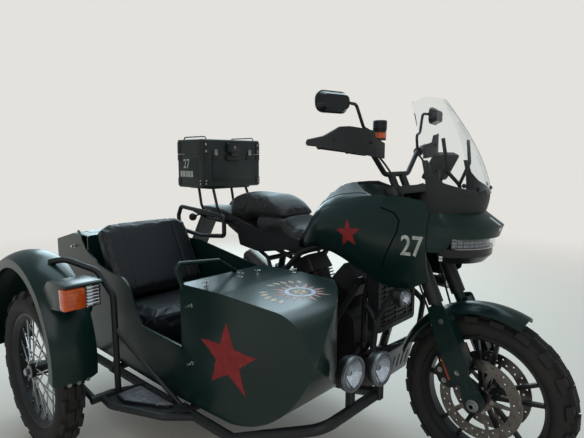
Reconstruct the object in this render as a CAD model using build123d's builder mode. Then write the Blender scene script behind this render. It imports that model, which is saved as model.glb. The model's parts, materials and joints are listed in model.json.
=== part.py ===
from build123d import *
import os
from math import atan2, cos, degrees, hypot, radians, sin, tan

# A touring motorcycle with a sidecar on its right-hand side, in millimetres.
# Every place is first given from the motorcycle itself: x forward from the rear axle,
# y to the left from the motorcycle's mid-plane, z up from the ground. at() turns such a
# place into the part's own frame, whose origin is on the ground under the middle of the outfit.

os.makedirs("parts", exist_ok=True)

# Running gear
wheelbase = 1580.0
front_tyre_r = 330.0
front_tyre_w = 124.0
front_rim_r = 248.0
rear_tyre_r = 322.0
rear_tyre_w = 168.0
rear_rim_r = 226.0
car_tyre_r = 345.0
car_tyre_w = 106.0
car_rim_r = 250.0
car_wheel_lead = 62.0
track = 1106.0
lug_depth = 13.0
running_gap = 0.06
seat_gap = 0.3

# Overall reach, which places the origin
tail_reach = 548.0
left_reach = 480.0
fender_w = 176.0

# Steering
rake = 25.0
fork_offset = 32.0
fork_half = 105.0
stanchion_r = 27.0
upper_tube_r = 30.0
stem_r = 20.0
head_tube_r = 33.0
lower_clamp_t = 640.0
upper_clamp_t = 850.0
clamp_h = 34.0
axle_r = 12.0

# Motorcycle frame
tube_r = 15.0
rack_tube_r = 12.0
frame_half = 112.0
pivot_half = 152.0

# Sidecar body
car_outer_y = -780.0
car_inner_y = -222.0
car_wall = 4.0
car_tube_r = 19.0
cowl_x = 660.0
boot_front_x = -150.0
boot_rear_x = -490.0

# Luggage
box_x = -45.0
box_l = 240.0
box_w = 438.0
box_bottom = 1093.0
box_seam = 1282.0
box_top = 1365.0
box_wall = 5.0
box_corner_r = 16.0
box_foot = 8.0
lid_gap = 1.0

# Hinges of both lids
hinge_pin_r = 3.0
knuckle_r = 7.0
knuckle_gap = 0.5

total_length = tail_reach + wheelbase + front_tyre_r
right_reach = track + fender_w / 2
rear_axle_x = tail_reach - total_length / 2
mid_y = (right_reach - left_reach) / 2

front_axle = (wheelbase, 0.0, front_tyre_r)
rear_axle = (0.0, 0.0, rear_tyre_r)
car_axle = (car_wheel_lead, -track, car_tyre_r)


def at(x, y, z):
    """A place given from the rear axle, the mid-plane and the ground, in the part's frame."""
    return Vector(rear_axle_x + x, mid_y + y, z)


def side(y):
    """The upright lengthwise plane at y, seen from the right: local x forward, local y up."""
    return Plane(origin=at(0, y, 0), x_dir=(1, 0, 0), z_dir=(0, -1, 0))


def level(z):
    """The level plane at height z: local x forward, local y left."""
    return Plane(origin=at(0, 0, z), x_dir=(1, 0, 0), z_dir=(0, 0, 1))


def across(x):
    """The upright crosswise plane at x: local x left, local y up."""
    return Plane(origin=at(x, 0, 0), x_dir=(0, 1, 0), z_dir=(1, 0, 0))


up_leg = Vector(-sin(radians(rake)), 0, cos(radians(rake)))
ahead_of_leg = Vector(cos(radians(rake)), 0, sin(radians(rake)))


def leg_point(along, ahead=0.0, y=0.0):
    """A place beside the fork leg: along it from the axle, ahead of it, and left."""
    return at(*front_axle) + up_leg * along + ahead_of_leg * ahead + Vector(0, y, 0)


def leg_cross(along):
    """The plane square to the fork legs: local x ahead, local y left."""
    return Plane(origin=leg_point(along), x_dir=ahead_of_leg, z_dir=up_leg)


def leg_side(y):
    """The plane along the fork legs, seen from the right: local x ahead, local y up the leg."""
    return Plane(origin=leg_point(0, 0, y), x_dir=ahead_of_leg, z_dir=(0, -1, 0))


def tube(points, bend, radius):
    """A round tube or bar through points given in the motorcycle's places, with equal bends."""
    places = [at(*point) for point in points]
    with BuildPart(mode=Mode.PRIVATE) as made:
        with BuildLine() as path:
            if len(places) > 2:
                FilletPolyline(*places, radius=bend)
            else:
                Line(*places)
        with BuildSketch(Plane(origin=path.line @ 0, z_dir=path.line % 0)):
            Circle(radius)
        sweep(path=path.line)
    return made.part


def mirrored(points):
    """The same places on the other side of the motorcycle's mid-plane."""
    return [(x, -y, z) for x, y, z in points]


def knuckle(pin, start, end, bore):
    """A hinge knuckle round the pin's place, from start to end along it, with its bore."""
    with BuildPart(mode=Mode.PRIVATE) as made:
        with BuildSketch(side(start)):
            with Locations((pin[0], pin[1])):
                Circle(knuckle_r)
                if bore:
                    Circle(bore, mode=Mode.SUBTRACT)
        extrude(amount=start - end)
    return made.part


def tyre(axle, radius, width, bead_r, rows):
    """A block-tread tyre: a casing turned about the axle, with lugs fused to it."""
    centre = at(*axle)
    half = width / 2
    casing_r = radius - lug_depth
    wall_r = (bead_r + casing_r) / 2
    shoulder_r = casing_r - 0.15 * width
    bead_y = 0.66 * half
    shoulder_y = 0.80 * half
    with BuildPart(mode=Mode.PRIVATE) as made:
        with BuildSketch(Plane(origin=centre, x_dir=(1, 0, 0), z_dir=(0, 0, 1))):
            with BuildLine():
                Line((bead_r, -bead_y), (bead_r, bead_y))
                ThreePointArc((bead_r, bead_y), (wall_r, half), (shoulder_r, shoulder_y))
                ThreePointArc((shoulder_r, shoulder_y), (casing_r, 0), (shoulder_r, -shoulder_y))
                ThreePointArc((shoulder_r, -shoulder_y), (wall_r, -half), (bead_r, -bead_y))
            make_face()
        revolve(axis=Axis(centre, (0, 1, 0)))
        pitch = 360.0 / rows
        # columns: place across the tread, drop of the tip, tilt, share of the pitch, phase
        for place, drop, tilt, share, phase in (
            (-0.68, 0.085, -24, 0.50, 0.5),
            (-0.23, 0.0, 0, 0.56, 0.0),
            (0.23, 0.0, 0, 0.56, 0.0),
            (0.68, 0.085, 24, 0.50, 0.5),
        ):
            tip_r = radius - drop * width
            block = lug_depth + 9
            length = radians(pitch) * radius * share
            with Locations(Plane(origin=centre, x_dir=(1, 0, 0), z_dir=(0, -1, 0))):
                with PolarLocations(tip_r - block / 2, rows, start_angle=-90 + phase * pitch):
                    with Locations(Location((0, 0, place * half), (0, tilt, 0))):
                        Box(block, length, 0.36 * half)
    return made.part


def rim_ring(axle, bead_r, half_width):
    """A wheel rim: a channel turned about the axle."""
    centre = at(*axle)
    seat = bead_r - seat_gap
    with BuildPart(mode=Mode.PRIVATE) as made:
        with BuildSketch(Plane(origin=centre, x_dir=(1, 0, 0), z_dir=(0, 0, 1))):
            with BuildLine():
                Polyline((seat, -half_width), (seat, half_width), (seat - 9, half_width),
                         (seat - 23, 0.5 * half_width), (seat - 23, -0.5 * half_width),
                         (seat - 9, -half_width), (seat, -half_width))
            make_face()
        revolve(axis=Axis(centre, (0, 1, 0)))
    return made.part


def wheel_side(axle, y=0.0):
    """The wheel's own plane, seen from the right, moved left by y."""
    return Plane(origin=at(*axle) + Vector(0, y, 0), x_dir=(1, 0, 0), z_dir=(0, -1, 0))


def cast_wheel(axle, bead_r, rim_half, hub_r, hub_half, spoke_half, bore_r):
    """A cast wheel with five pairs of slender spokes."""
    inner = bead_r - 21
    with BuildPart(mode=Mode.PRIVATE) as made:
        add(rim_ring(axle, bead_r, rim_half))
        with BuildSketch(wheel_side(axle)):
            with PolarLocations(0, 5, start_angle=18):
                Polygon((hub_r - 6, 2), (inner, 34), (inner, 48), (hub_r - 8, 20), align=None)
                Polygon((hub_r - 6, -2), (hub_r - 8, -20), (inner, -48), (inner, -34), align=None)
        extrude(amount=spoke_half, both=True)
        with BuildSketch(wheel_side(axle)):
            Circle(hub_r)
        extrude(amount=hub_half, both=True)
        with BuildSketch(wheel_side(axle)):
            Circle(bore_r)
        extrude(amount=hub_half + 1, both=True, mode=Mode.SUBTRACT)
    return made.part


disc_holes = 20
disc_hole_r = 3.6


def brake_disc(axle, y, outer_r, ring_w, hub_r, thick):
    """A brake disc with two rows of holes, on a five-armed carrier."""
    with BuildPart(mode=Mode.PRIVATE) as made:
        with BuildSketch(wheel_side(axle, y)):
            Circle(outer_r)
            Circle(outer_r - ring_w, mode=Mode.SUBTRACT)
            for row, phase in ((0.32, 0.0), (0.68, 0.5)):
                with PolarLocations(outer_r - row * ring_w, disc_holes, start_angle=phase * 360 / disc_holes):
                    Circle(disc_hole_r, mode=Mode.SUBTRACT)
            with PolarLocations(0, 5):
                Polygon((hub_r, -9), (outer_r - ring_w + 3, -5), (outer_r - ring_w + 3, 7),
                        (hub_r, 12), align=None)
            Circle(hub_r + 6)
            Circle(hub_r - 10, mode=Mode.SUBTRACT)
        extrude(amount=thick / 2, both=True)
    return made.part


# Wheels

with BuildPart() as front_tyre:
    add(tyre(front_axle, front_tyre_r, front_tyre_w, front_rim_r, 20))
front_tyre.part.label = "front_tyre"
export_step(front_tyre.part, "parts/front_tyre.step")

with BuildPart() as rear_tyre:
    add(tyre(rear_axle, rear_tyre_r, rear_tyre_w, rear_rim_r, 20))
rear_tyre.part.label = "rear_tyre"
export_step(rear_tyre.part, "parts/rear_tyre.step")

with BuildPart() as sidecar_tyre:
    add(tyre(car_axle, car_tyre_r, car_tyre_w, car_rim_r, 20))
sidecar_tyre.part.label = "sidecar_tyre"
export_step(sidecar_tyre.part, "parts/sidecar_tyre.step")

front_hub_half = 54.0
disc_y = 60.0
front_disc_r = 160.0
disc_t = 5.0
with BuildPart() as front_wheel:
    add(cast_wheel(front_axle, front_rim_r, 43, 38, front_hub_half, 9, axle_r + running_gap))
front_wheel.part.label = "front_wheel"
export_step(front_wheel.part, "parts/front_wheel.step")

with BuildPart() as front_discs:
    for hand in (-1, 1):
        add(brake_disc(front_axle, hand * (front_hub_half + disc_t / 2), front_disc_r, 44, 42, disc_t))
front_discs.part.label = "front_discs"
export_step(front_discs.part, "parts/front_discs.step")

rear_hub_half = 84.0
sprocket_y = 98.0
sprocket_t = 8.0
sprocket_r = 98.0
chain_gap = 5.0
rear_disc_r = 130.0
with BuildPart() as rear_wheel:
    add(cast_wheel(rear_axle, rear_rim_r, 62, 46, rear_hub_half, 12, axle_r + running_gap))
    with BuildSketch(wheel_side(rear_axle, rear_hub_half)):
        Circle(62)
        Circle(axle_r + running_gap, mode=Mode.SUBTRACT)
    extrude(amount=-(sprocket_y - rear_hub_half))
    with BuildSketch(wheel_side(rear_axle, sprocket_y)):
        Circle(sprocket_r)
        Circle(axle_r + running_gap, mode=Mode.SUBTRACT)
        with PolarLocations(74, 8):
            Circle(13, mode=Mode.SUBTRACT)
    extrude(amount=sprocket_t / 2, both=True)
    add(brake_disc(rear_axle, -rear_hub_half - disc_t / 2, rear_disc_r, 40, 44, disc_t))
rear_wheel.part.label = "rear_wheel"
export_step(rear_wheel.part, "parts/rear_wheel.step")

car_hub_r = 30.0
car_hub_half = 48.0
car_flange_r = 44.0
car_spokes = 36
with BuildPart() as sidecar_wheel:
    add(rim_ring(car_axle, car_rim_r, 36))
    with BuildSketch(wheel_side(car_axle)):
        Circle(car_hub_r)
    extrude(amount=car_hub_half, both=True)
    for hand in (-1, 1):
        with BuildSketch(wheel_side(car_axle, hand * (car_hub_half - 14))):
            Circle(car_flange_r)
        extrude(amount=3, both=True)
    for index in range(car_spokes):
        hand = 1 if index % 2 else -1
        lean = 26 if index % 4 < 2 else -26
        rim_angle = radians(360 / car_spokes * index)
        hub_angle = rim_angle + radians(lean)
        foot = Vector((car_flange_r - 5) * cos(hub_angle), hand * (car_hub_half - 14),
                      (car_flange_r - 5) * sin(hub_angle))
        tip = Vector((car_rim_r - 20) * cos(rim_angle), hand * 6, (car_rim_r - 20) * sin(rim_angle))
        with BuildSketch(Plane(origin=at(*car_axle) + foot, z_dir=tip - foot)):
            Rectangle(4, 4)
        extrude(amount=(tip - foot).length)
    with BuildSketch(wheel_side(car_axle)):
        Circle(axle_r + running_gap)
    extrude(amount=car_hub_half + 1, both=True, mode=Mode.SUBTRACT)
sidecar_wheel.part.label = "sidecar_wheel"
export_step(sidecar_wheel.part, "parts/sidecar_wheel.step")

# Steering

carrier_r = 34.0
inner_leg_r = 22.0
inner_leg_top = 400.0
guard_t = 9.0
axle_half = fork_half + 24
end_bore_r = 8.0
end_bore_depth = 30.0
with BuildPart() as fork_legs:
    with BuildSketch(wheel_side(front_axle)):
        Circle(axle_r)
    extrude(amount=axle_half, both=True)
    for hand in (-1, 1):
        y = hand * fork_half
        with BuildSketch(leg_side(y)):
            with BuildLine():
                Polyline((-30, -26), (30, -26), (34, 10), (24, 74), (-24, 74), (-34, 10), (-30, -26))
            make_face()
            fillet(vertices(), 9)
        extrude(amount=20, both=True)
        with BuildSketch(leg_cross(60)):
            with Locations((0, y)):
                Circle(inner_leg_r)
        extrude(amount=inner_leg_top - 60)
        with BuildSketch(leg_side(y + hand * (inner_leg_r + 3))):
            with BuildLine():
                Polyline((-40, 96), (26, 78), (50, 150), (42, 385), (-26, 398), (-44, 240), (-40, 96))
            make_face()
            fillet(vertices(), 16)
        extrude(amount=-hand * guard_t)
        with BuildSketch(leg_side(y)):
            with BuildLine():
                Polyline((16, 120), (44, 150), (40, 372), (16, 372), (16, 120))
            make_face()
        extrude(amount=inner_leg_r + 3, both=True)
        with BuildSketch(leg_side(y + hand * (inner_leg_r + 3 + guard_t))):
            with Locations((8, 330), (-6, 130)):
                Circle(11)
        extrude(amount=hand * 5, mode=Mode.SUBTRACT)
    with BuildSketch(wheel_side(front_axle, -axle_half)):
        Circle(end_bore_r)
    extrude(amount=-end_bore_depth, mode=Mode.SUBTRACT)
fork_legs.part.label = "fork_legs"
export_step(fork_legs.part, "parts/fork_legs.step")

fork_top = 884.0
with BuildPart() as fork:
    for clamp_t in (lower_clamp_t, upper_clamp_t):
        with BuildSketch(leg_cross(clamp_t)):
            with Locations((0, fork_half), (0, -fork_half)):
                Circle(upper_tube_r + 10)
            with Locations((-fork_offset, 0)):
                Circle(head_tube_r + 4)
            make_hull()
        extrude(amount=clamp_h)
    with BuildSketch(leg_cross(inner_leg_top)):
        with Locations((0, fork_half), (0, -fork_half)):
            Circle(upper_tube_r)
    extrude(amount=fork_top + 8 - inner_leg_top)
    with BuildSketch(leg_cross(lower_clamp_t)):
        with Locations((-fork_offset, 0)):
            Circle(stem_r)
    extrude(amount=upper_clamp_t - lower_clamp_t)
fork.part.label = "fork"
export_step(fork.part, "parts/fork.step")

fender_r = 374.0
fender_half = 72.0
fender_wall = 4.0
fender_front_angle = 66.0
fender_sweep = 96.0
with BuildPart() as front_fender:
    front_edge = radians(fender_front_angle)
    with BuildSketch(Plane(origin=at(*front_axle), x_dir=(cos(front_edge), 0, sin(front_edge)),
                           z_dir=(-sin(front_edge), 0, cos(front_edge)))):
        with BuildLine():
            ThreePointArc((fender_r - 34, -fender_half), (fender_r, 0), (fender_r - 34, fender_half))
            Line((fender_r - 34, fender_half), (fender_r - 34 - fender_wall, fender_half - 3))
            ThreePointArc((fender_r - 34 - fender_wall, fender_half - 3), (fender_r - fender_wall, 0),
                          (fender_r - 34 - fender_wall, 3 - fender_half))
            Line((fender_r - 34 - fender_wall, 3 - fender_half), (fender_r - 34, -fender_half))
        make_face()
    revolve(axis=Axis(at(*front_axle), (0, -1, 0)), revolution_arc=fender_sweep)
    for hand in (-1, 1):
        with BuildSketch(leg_side(hand * (fender_half - 4))):
            with BuildLine():
                Polyline((-40, 300), (20, 300), (30, 345), (-60, 352), (-40, 300))
            make_face()
            fillet(vertices(), 6)
        extrude(amount=-hand * (fork_half - fender_half))
    add(fork_legs.part, mode=Mode.SUBTRACT)
front_fender.part.label = "front_fender"
export_step(front_fender.part, "parts/front_fender.step")

with BuildPart() as front_calipers:
    for hand in (-1, 1):
        with BuildSketch(leg_side(hand * (front_hub_half + disc_t / 2))):
            with BuildLine():
                Polyline((-60, 60), (-96, 66), (-128, 96), (-126, 150), (-96, 170), (-62, 150), (-60, 60))
            make_face()
            fillet(vertices(), 12)
        extrude(amount=24, both=True)
        with BuildSketch(leg_side(hand * (front_hub_half + disc_t / 2))):
            Circle(front_disc_r + 6)
        extrude(amount=disc_t / 2 + 3.5, both=True, mode=Mode.SUBTRACT)
        with BuildSketch(leg_side(hand * (fork_half - 14))):
            with BuildLine():
                Polyline((-16, 70), (-80, 80), (-80, 140), (-16, 150), (-16, 70))
            make_face()
        extrude(amount=12, both=True)
    add(fork_legs.part, mode=Mode.SUBTRACT)
front_calipers.part.label = "front_calipers"
export_step(front_calipers.part, "parts/front_calipers.step")

bar_r = 11.0
grip_r = 17.0
bar_x = 1158.0
bar_z = 1192.0
grip_inner = (1150.0, 190.0, 1286.0)
grip_outer = (1072.0, 428.0, 1312.0)
bar_middle = (bar_x, 95.0, bar_z)


def beside_grip(share, ahead, up):
    """A place beside the left grip: at a share of its length, ahead of it and above it."""
    return tuple(a + share * (b - a) + c for a, b, c in zip(grip_inner, grip_outer, (ahead, 0, up)))


with BuildPart() as handlebar:
    right_run = [grip_outer, grip_inner, bar_middle]
    add(tube(mirrored(right_run) + right_run[::-1], 42, bar_r))
    for hand in (-1, 1):
        riser = leg_cross(fork_top)
        with BuildSketch(riser):
            with Locations((-20, hand * 45)):
                Circle(16)
        extrude(amount=78)
    for hand in (-1, 1):
        flip = mirrored if hand < 0 else list
        add(tube(flip([beside_grip(0.45, 0, 0), beside_grip(1.0, 0, 0)]), 0, grip_r))
        add(tube(flip([beside_grip(0.12, 0, 0), beside_grip(0.40, 0, 0)]), 0, grip_r + 4))
        add(tube(flip([beside_grip(0.24, 10, 0), beside_grip(0.32, 62, 0), beside_grip(0.98, 52, 2)]),
                 12, 6))
    with BuildSketch(level(1330)):
        with Locations((grip_inner[0] + 34, -grip_inner[1] + 6)):
            Circle(25)
    extrude(amount=40)
    add(tube(mirrored([beside_grip(0.06, 0, 6), (grip_inner[0] + 34, grip_inner[1] - 6, 1335)]), 0, 10))
handlebar.part.label = "handlebar"
export_step(handlebar.part, "parts/handlebar.step")

guard_wall = 4.0
with BuildPart() as hand_guards:
    for hand in (-1, 1):
        with BuildSketch(level(1250)):
            with BuildLine():
                outer = ThreePointArc((1196, hand * 170), (1176, hand * 345), (1062, hand * left_reach))
                offset(outer, guard_wall, side=Side.BOTH)
            make_face()
        extrude(amount=130)
    with BuildSketch(across(1000)):
        with BuildLine():
            Polyline((165, 1318), (165, 1257), (261, 1267), (344, 1279), (436, 1297), (490, 1308),
                     (490, 1326), (443, 1342), (398, 1376), (368, 1378), (254, 1365), (240, 1334),
                     (165, 1318))
        make_face()
        fillet(vertices(), 7)
        mirror(about=Plane.YZ)
    extrude(amount=300, mode=Mode.INTERSECT)
    for hand in (-1, 1):
        flip = mirrored if hand < 0 else list
        add(tube(flip([beside_grip(1.0, 0, 0), beside_grip(1.21, 0, 0)]), 0, 9))
    add(handlebar.part, mode=Mode.SUBTRACT)
hand_guards.part.label = "hand_guards"
export_step(hand_guards.part, "parts/hand_guards.step")

mirror_w = 150.0
mirror_h = 78.0
mirror_place = (1118.0, -411.0, 1465.0)
with BuildPart() as mirrors:
    for hand in (-1, 1):
        centre = at(mirror_place[0], -hand * mirror_place[1], mirror_place[2])
        facing = Vector(-cos(radians(12)), -hand * sin(radians(12)), 0.0)
        with BuildSketch(Plane(origin=centre, x_dir=facing.cross(Vector(0, 0, 1)), z_dir=facing)):
            RectangleRounded(mirror_w, mirror_h, 32)
        extrude(amount=-30, taper=24)
        with BuildSketch(Plane(origin=centre, x_dir=facing.cross(Vector(0, 0, 1)), z_dir=facing)):
            RectangleRounded(mirror_w, mirror_h, 32)
        extrude(amount=6)
        with BuildSketch(Plane(origin=centre + facing * 6, x_dir=facing.cross(Vector(0, 0, 1)),
                               z_dir=facing)):
            RectangleRounded(mirror_w - 10, mirror_h - 10, 27)
        extrude(amount=-3, mode=Mode.SUBTRACT)
    for hand in (-1, 1):
        flip = mirrored if hand < 0 else list
        add(tube(flip([beside_grip(0.03, 0, 14), beside_grip(0.0, -4, 80), (1140, 232, 1378),
                       (1130, 272, 1467), (1130, 354, 1471)]), 22, 6.5))
    add(handlebar.part, mode=Mode.SUBTRACT)
mirrors.part.label = "mirrors"
export_step(mirrors.part, "parts/mirrors.step")

# Motorcycle frame and drive

pivot = (512.0, 0.0, 438.0)
stay_x = 1422.0
stay_z = 1034.0
with BuildPart() as main_frame:
    head_low = lower_clamp_t + clamp_h + 2
    with BuildSketch(leg_cross(head_low)):
        with Locations((-fork_offset, 0)):
            Circle(head_tube_r)
    extrude(amount=upper_clamp_t - 2 - head_low)
    for hand in (-1, 1):
        flip = mirrored if hand < 0 else list
        add(tube(flip([(1212, 20, 1006), (1030, 108, 930), (700, frame_half, 800),
                       (570, pivot_half, 640), (pivot[0], pivot_half, pivot[2]),
                       (548, pivot_half - 20, 330)]), 60, tube_r))
        add(tube(flip([(1222, 22, 960), (1120, 100, 860), (1080, 110, 640), (1070, 100, 420)]),
                 50, tube_r - 2))
        add(tube(flip([(640, frame_half, 770), (120, 96, 900), (-70, 92, 905)]), 60, 11))
        add(tube(flip([(560, pivot_half - 6, 610), (470, 106, 742), (150, 96, 886)]), 60, 10))
    add(tube([(700, frame_half, 800), (700, -frame_half, 800)], 0, 11))
    add(tube([(150, 96, 890), (150, -96, 890)], 0, 9))
    add(tube([(480, 106, 740), (480, -106, 740)], 0, 13))
    add(tube([(-70, 92, 905), (-70, -92, 905)], 0, 9))
    add(tube([(pivot[0], pivot_half, pivot[2]), (pivot[0], -pivot_half, pivot[2])], 0, 14))
    add(tube([(1216, 0, stay_z), (stay_x, 0, stay_z)], 0, 12))
    add(tube([(stay_x, -164, stay_z), (stay_x, 164, stay_z)], 0, 10))
    with BuildSketch(leg_cross(head_low)):
        with Locations((-fork_offset, 0)):
            Circle(stem_r + running_gap)
    extrude(amount=upper_clamp_t - head_low, mode=Mode.SUBTRACT)
main_frame.part.label = "main_frame"
export_step(main_frame.part, "parts/main_frame.step")

engine_half = 128.0
crank = (800.0, 0.0, 470.0)
cylinder_w = 124.0
fin_count = 7
sprocket_front_r = 36.0
sprocket_front = (604.0, sprocket_y, 438.0)
with BuildPart() as engine:
    with BuildSketch(side(0)):
        with BuildLine():
            Polyline((586, 340), (660, 306), (960, 300), (1016, 380), (1006, 520), (900, 600),
                     (660, 610), (576, 520), (586, 340))
        make_face()
        fillet(vertices(), 34)
    extrude(amount=engine_half - 40, both=True)
    for hand, x, z, cover_r in ((-1, 858, 455, 96), (-1, 700, 470, 74), (1, 868, 455, 88)):
        with BuildSketch(side(hand * (engine_half - 40))):
            with Locations((x, z)):
                Circle(cover_r)
        extrude(amount=-hand * 40, taper=8)
    for lean in (34.0, -26.0):
        upward = Vector(sin(radians(lean)), 0, cos(radians(lean)))
        forward = Vector(cos(radians(lean)), 0, -sin(radians(lean)))
        with BuildSketch(Plane(origin=at(*crank) + upward * 100, x_dir=forward, z_dir=upward)):
            RectangleRounded(cylinder_w, cylinder_w - 6, 26)
        extrude(amount=180)
        for index in range(fin_count):
            with BuildSketch(Plane(origin=at(*crank) + upward * (132 + 15 * index), x_dir=forward,
                                   z_dir=upward)):
                RectangleRounded(cylinder_w + 34, cylinder_w + 26, 30)
            extrude(amount=5)
        with BuildSketch(Plane(origin=at(*crank) + upward * 236, x_dir=forward, z_dir=upward)):
            RectangleRounded(cylinder_w + 24, cylinder_w + 44, 24)
        extrude(amount=86, taper=8)
    with BuildSketch(side(sprocket_y - sprocket_t / 2)):
        with Locations((sprocket_front[0], sprocket_front[2])):
            Circle(24)
    extrude(amount=12)
    add(main_frame.part, mode=Mode.SUBTRACT)
engine.part.label = "engine"
export_step(engine.part, "parts/engine.step")

arm_inner = 110.0
arm_outer = 134.0
with BuildPart() as swingarm:
    for hand in (-1, 1):
        with BuildSketch(side(hand * arm_inner)):
            with BuildLine():
                Polyline((-44, rear_tyre_r - 26), (60, rear_tyre_r - 30), (340, 372), (540, 400),
                         (546, 470), (500, 486), (330, 470), (60, rear_tyre_r + 34),
                         (-44, rear_tyre_r + 26), (-44, rear_tyre_r - 26))
            make_face()
            fillet(vertices(), 12)
        extrude(amount=-hand * (arm_outer - arm_inner))
    with BuildSketch(side(0)):
        with Locations((392, 424)):
            RectangleRounded(62, 58, 14)
    extrude(amount=arm_inner + 1, both=True)
    with BuildSketch(side(0)):
        with Locations((rear_axle[0], rear_axle[2])):
            Circle(axle_r)
    extrude(amount=arm_outer + 8, both=True)
    with BuildSketch(side(0)):
        with Locations((pivot[0], pivot[2])):
            Circle(24)
    extrude(amount=arm_outer - 1, both=True)
    with BuildSketch(side(-rear_hub_half - disc_t / 2)):
        with BuildLine():
            Polyline((70, 420), (150, 392), (190, 400), (176, 440), (110, 474), (70, 460), (70, 420))
        make_face()
        fillet(vertices(), 9)
    extrude(amount=arm_inner - rear_hub_half - disc_t / 2 + 1, both=True)
    with BuildSketch(side(-rear_hub_half - disc_t / 2)):
        with Locations((rear_axle[0], rear_axle[2])):
            Circle(rear_disc_r + 6)
    extrude(amount=disc_t / 2 + 3.5, both=True, mode=Mode.SUBTRACT)
    add(tube([(404, 0, 430), (478, 0, 736)], 0, 18))
    add(tube([(416, 0, 478), (464, 0, 680)], 0, 34))
    add(main_frame.part, mode=Mode.SUBTRACT)
    add(engine.part, mode=Mode.SUBTRACT)
swingarm.part.label = "swingarm"
export_step(swingarm.part, "parts/swingarm.step")

link_h = 15.0
chain_w = 16.0
with BuildPart() as drive_chain:
    for grow, mode in ((link_h, Mode.ADD), (0.0, Mode.SUBTRACT)):
        with BuildSketch(side(sprocket_y)):
            with Locations((rear_axle[0], rear_axle[2])):
                Circle(sprocket_r + chain_gap + grow)
            with Locations((sprocket_front[0], sprocket_front[2])):
                Circle(sprocket_front_r + grow)
            make_hull()
        extrude(amount=chain_w / 2, both=True, mode=mode)
    with BuildSketch(side(sprocket_y)):
        with Locations((sprocket_front[0], sprocket_front[2])):
            Circle(sprocket_front_r)
    extrude(amount=sprocket_t / 2, both=True)
    add(engine.part, mode=Mode.SUBTRACT)
    add(main_frame.part, mode=Mode.SUBTRACT)
    add(swingarm.part, mode=Mode.SUBTRACT)
drive_chain.part.label = "drive_chain"
export_step(drive_chain.part, "parts/drive_chain.step")

exhaust_r = 62.0
with BuildPart() as exhaust:
    add(tube([(1040, 150, 700), (1078, 158, 560), (1010, 150, 300), (820, 60, 262), (640, 60, 262)],
             60, 21))
    add(tube([(650, 60, 705), (648, 150, 692), (628, 194, 610), (600, 196, 440), (540, 196, 396),
              (430, 196, 402)], 40, 21))
    add(tube([(700, 60, 262), (570, 60, 268), (492, 116, 298), (440, 192, 398)], 40, 21))
    with BuildSketch(side(0)):
        with Locations((700, 262)):
            RectangleRounded(240, 56, 20)
    extrude(amount=90, both=True)
    add(tube([(440, 196, 400), (330, 208, 452), (-60, 224, 640)], 60, 27))
    with BuildSketch(Plane(origin=at(300, 212, 466), x_dir=(0, 1, 0),
                           z_dir=(-360, 12, 174))):
        Ellipse(56, 68)
    extrude(amount=372, taper=0.6)
    add(engine.part, mode=Mode.SUBTRACT)
    add(main_frame.part, mode=Mode.SUBTRACT)
    add(swingarm.part, mode=Mode.SUBTRACT)
exhaust.part.label = "exhaust"
export_step(exhaust.part, "parts/exhaust.step")

radiator_x = 1128.0
radiator_z = 668.0
radiator_h = 300.0
radiator_half = 158.0
with BuildPart() as radiator:
    with BuildSketch(across(radiator_x)):
        with Locations((0, radiator_z)):
            RectangleRounded(2 * radiator_half, radiator_h, 18)
    extrude(amount=52)
    with BuildSketch(across(radiator_x + 52)):
        with Locations((0, radiator_z)):
            RectangleRounded(2 * radiator_half - 44, radiator_h - 44, 10)
    extrude(amount=-9, mode=Mode.SUBTRACT)
    with BuildSketch(across(radiator_x + 43)):
        with Locations((0, radiator_z)):
            with GridLocations(0, 22, 1, 12):
                Rectangle(2 * radiator_half - 42, 6)
            with GridLocations(90, 0, 3, 1):
                Rectangle(7, radiator_h - 42)
    extrude(amount=6)
    add(main_frame.part, mode=Mode.SUBTRACT)
    add(engine.part, mode=Mode.SUBTRACT)
    add(exhaust.part, mode=Mode.SUBTRACT)
radiator.part.label = "radiator"
export_step(radiator.part, "parts/radiator.step")

skid_half = 128.0
skid_t = 4.0
with BuildPart() as skid_plate:
    with BuildSketch(side(0)):
        with BuildLine():
            run = FilletPolyline((1196, 420), (1160, 280), (1090, 226), (600, 214), radius=46)
            offset(run, skid_t / 2, side=Side.BOTH)
        make_face()
    extrude(amount=skid_half, both=True)
    for hand in (-1, 1):
        with BuildSketch(side(hand * skid_half)):
            with BuildLine():
                Polyline((1195, 416), (1168, 310), (1142, 264), (1098, 233), (600, 215), (600, 262),
                         (980, 290), (1080, 360), (1195, 416))
            make_face()
        extrude(amount=hand * skid_t)
    with BuildSketch(across(1230)):
        with Locations((0, 346)):
            with GridLocations(38, 0, 6, 1):
                SlotOverall(70, 14, rotation=90)
    extrude(amount=-90, mode=Mode.SUBTRACT)
    add(exhaust.part, mode=Mode.SUBTRACT)
    add(engine.part, mode=Mode.SUBTRACT)
skid_plate.part.label = "skid_plate"
export_step(skid_plate.part, "parts/skid_plate.step")

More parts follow.
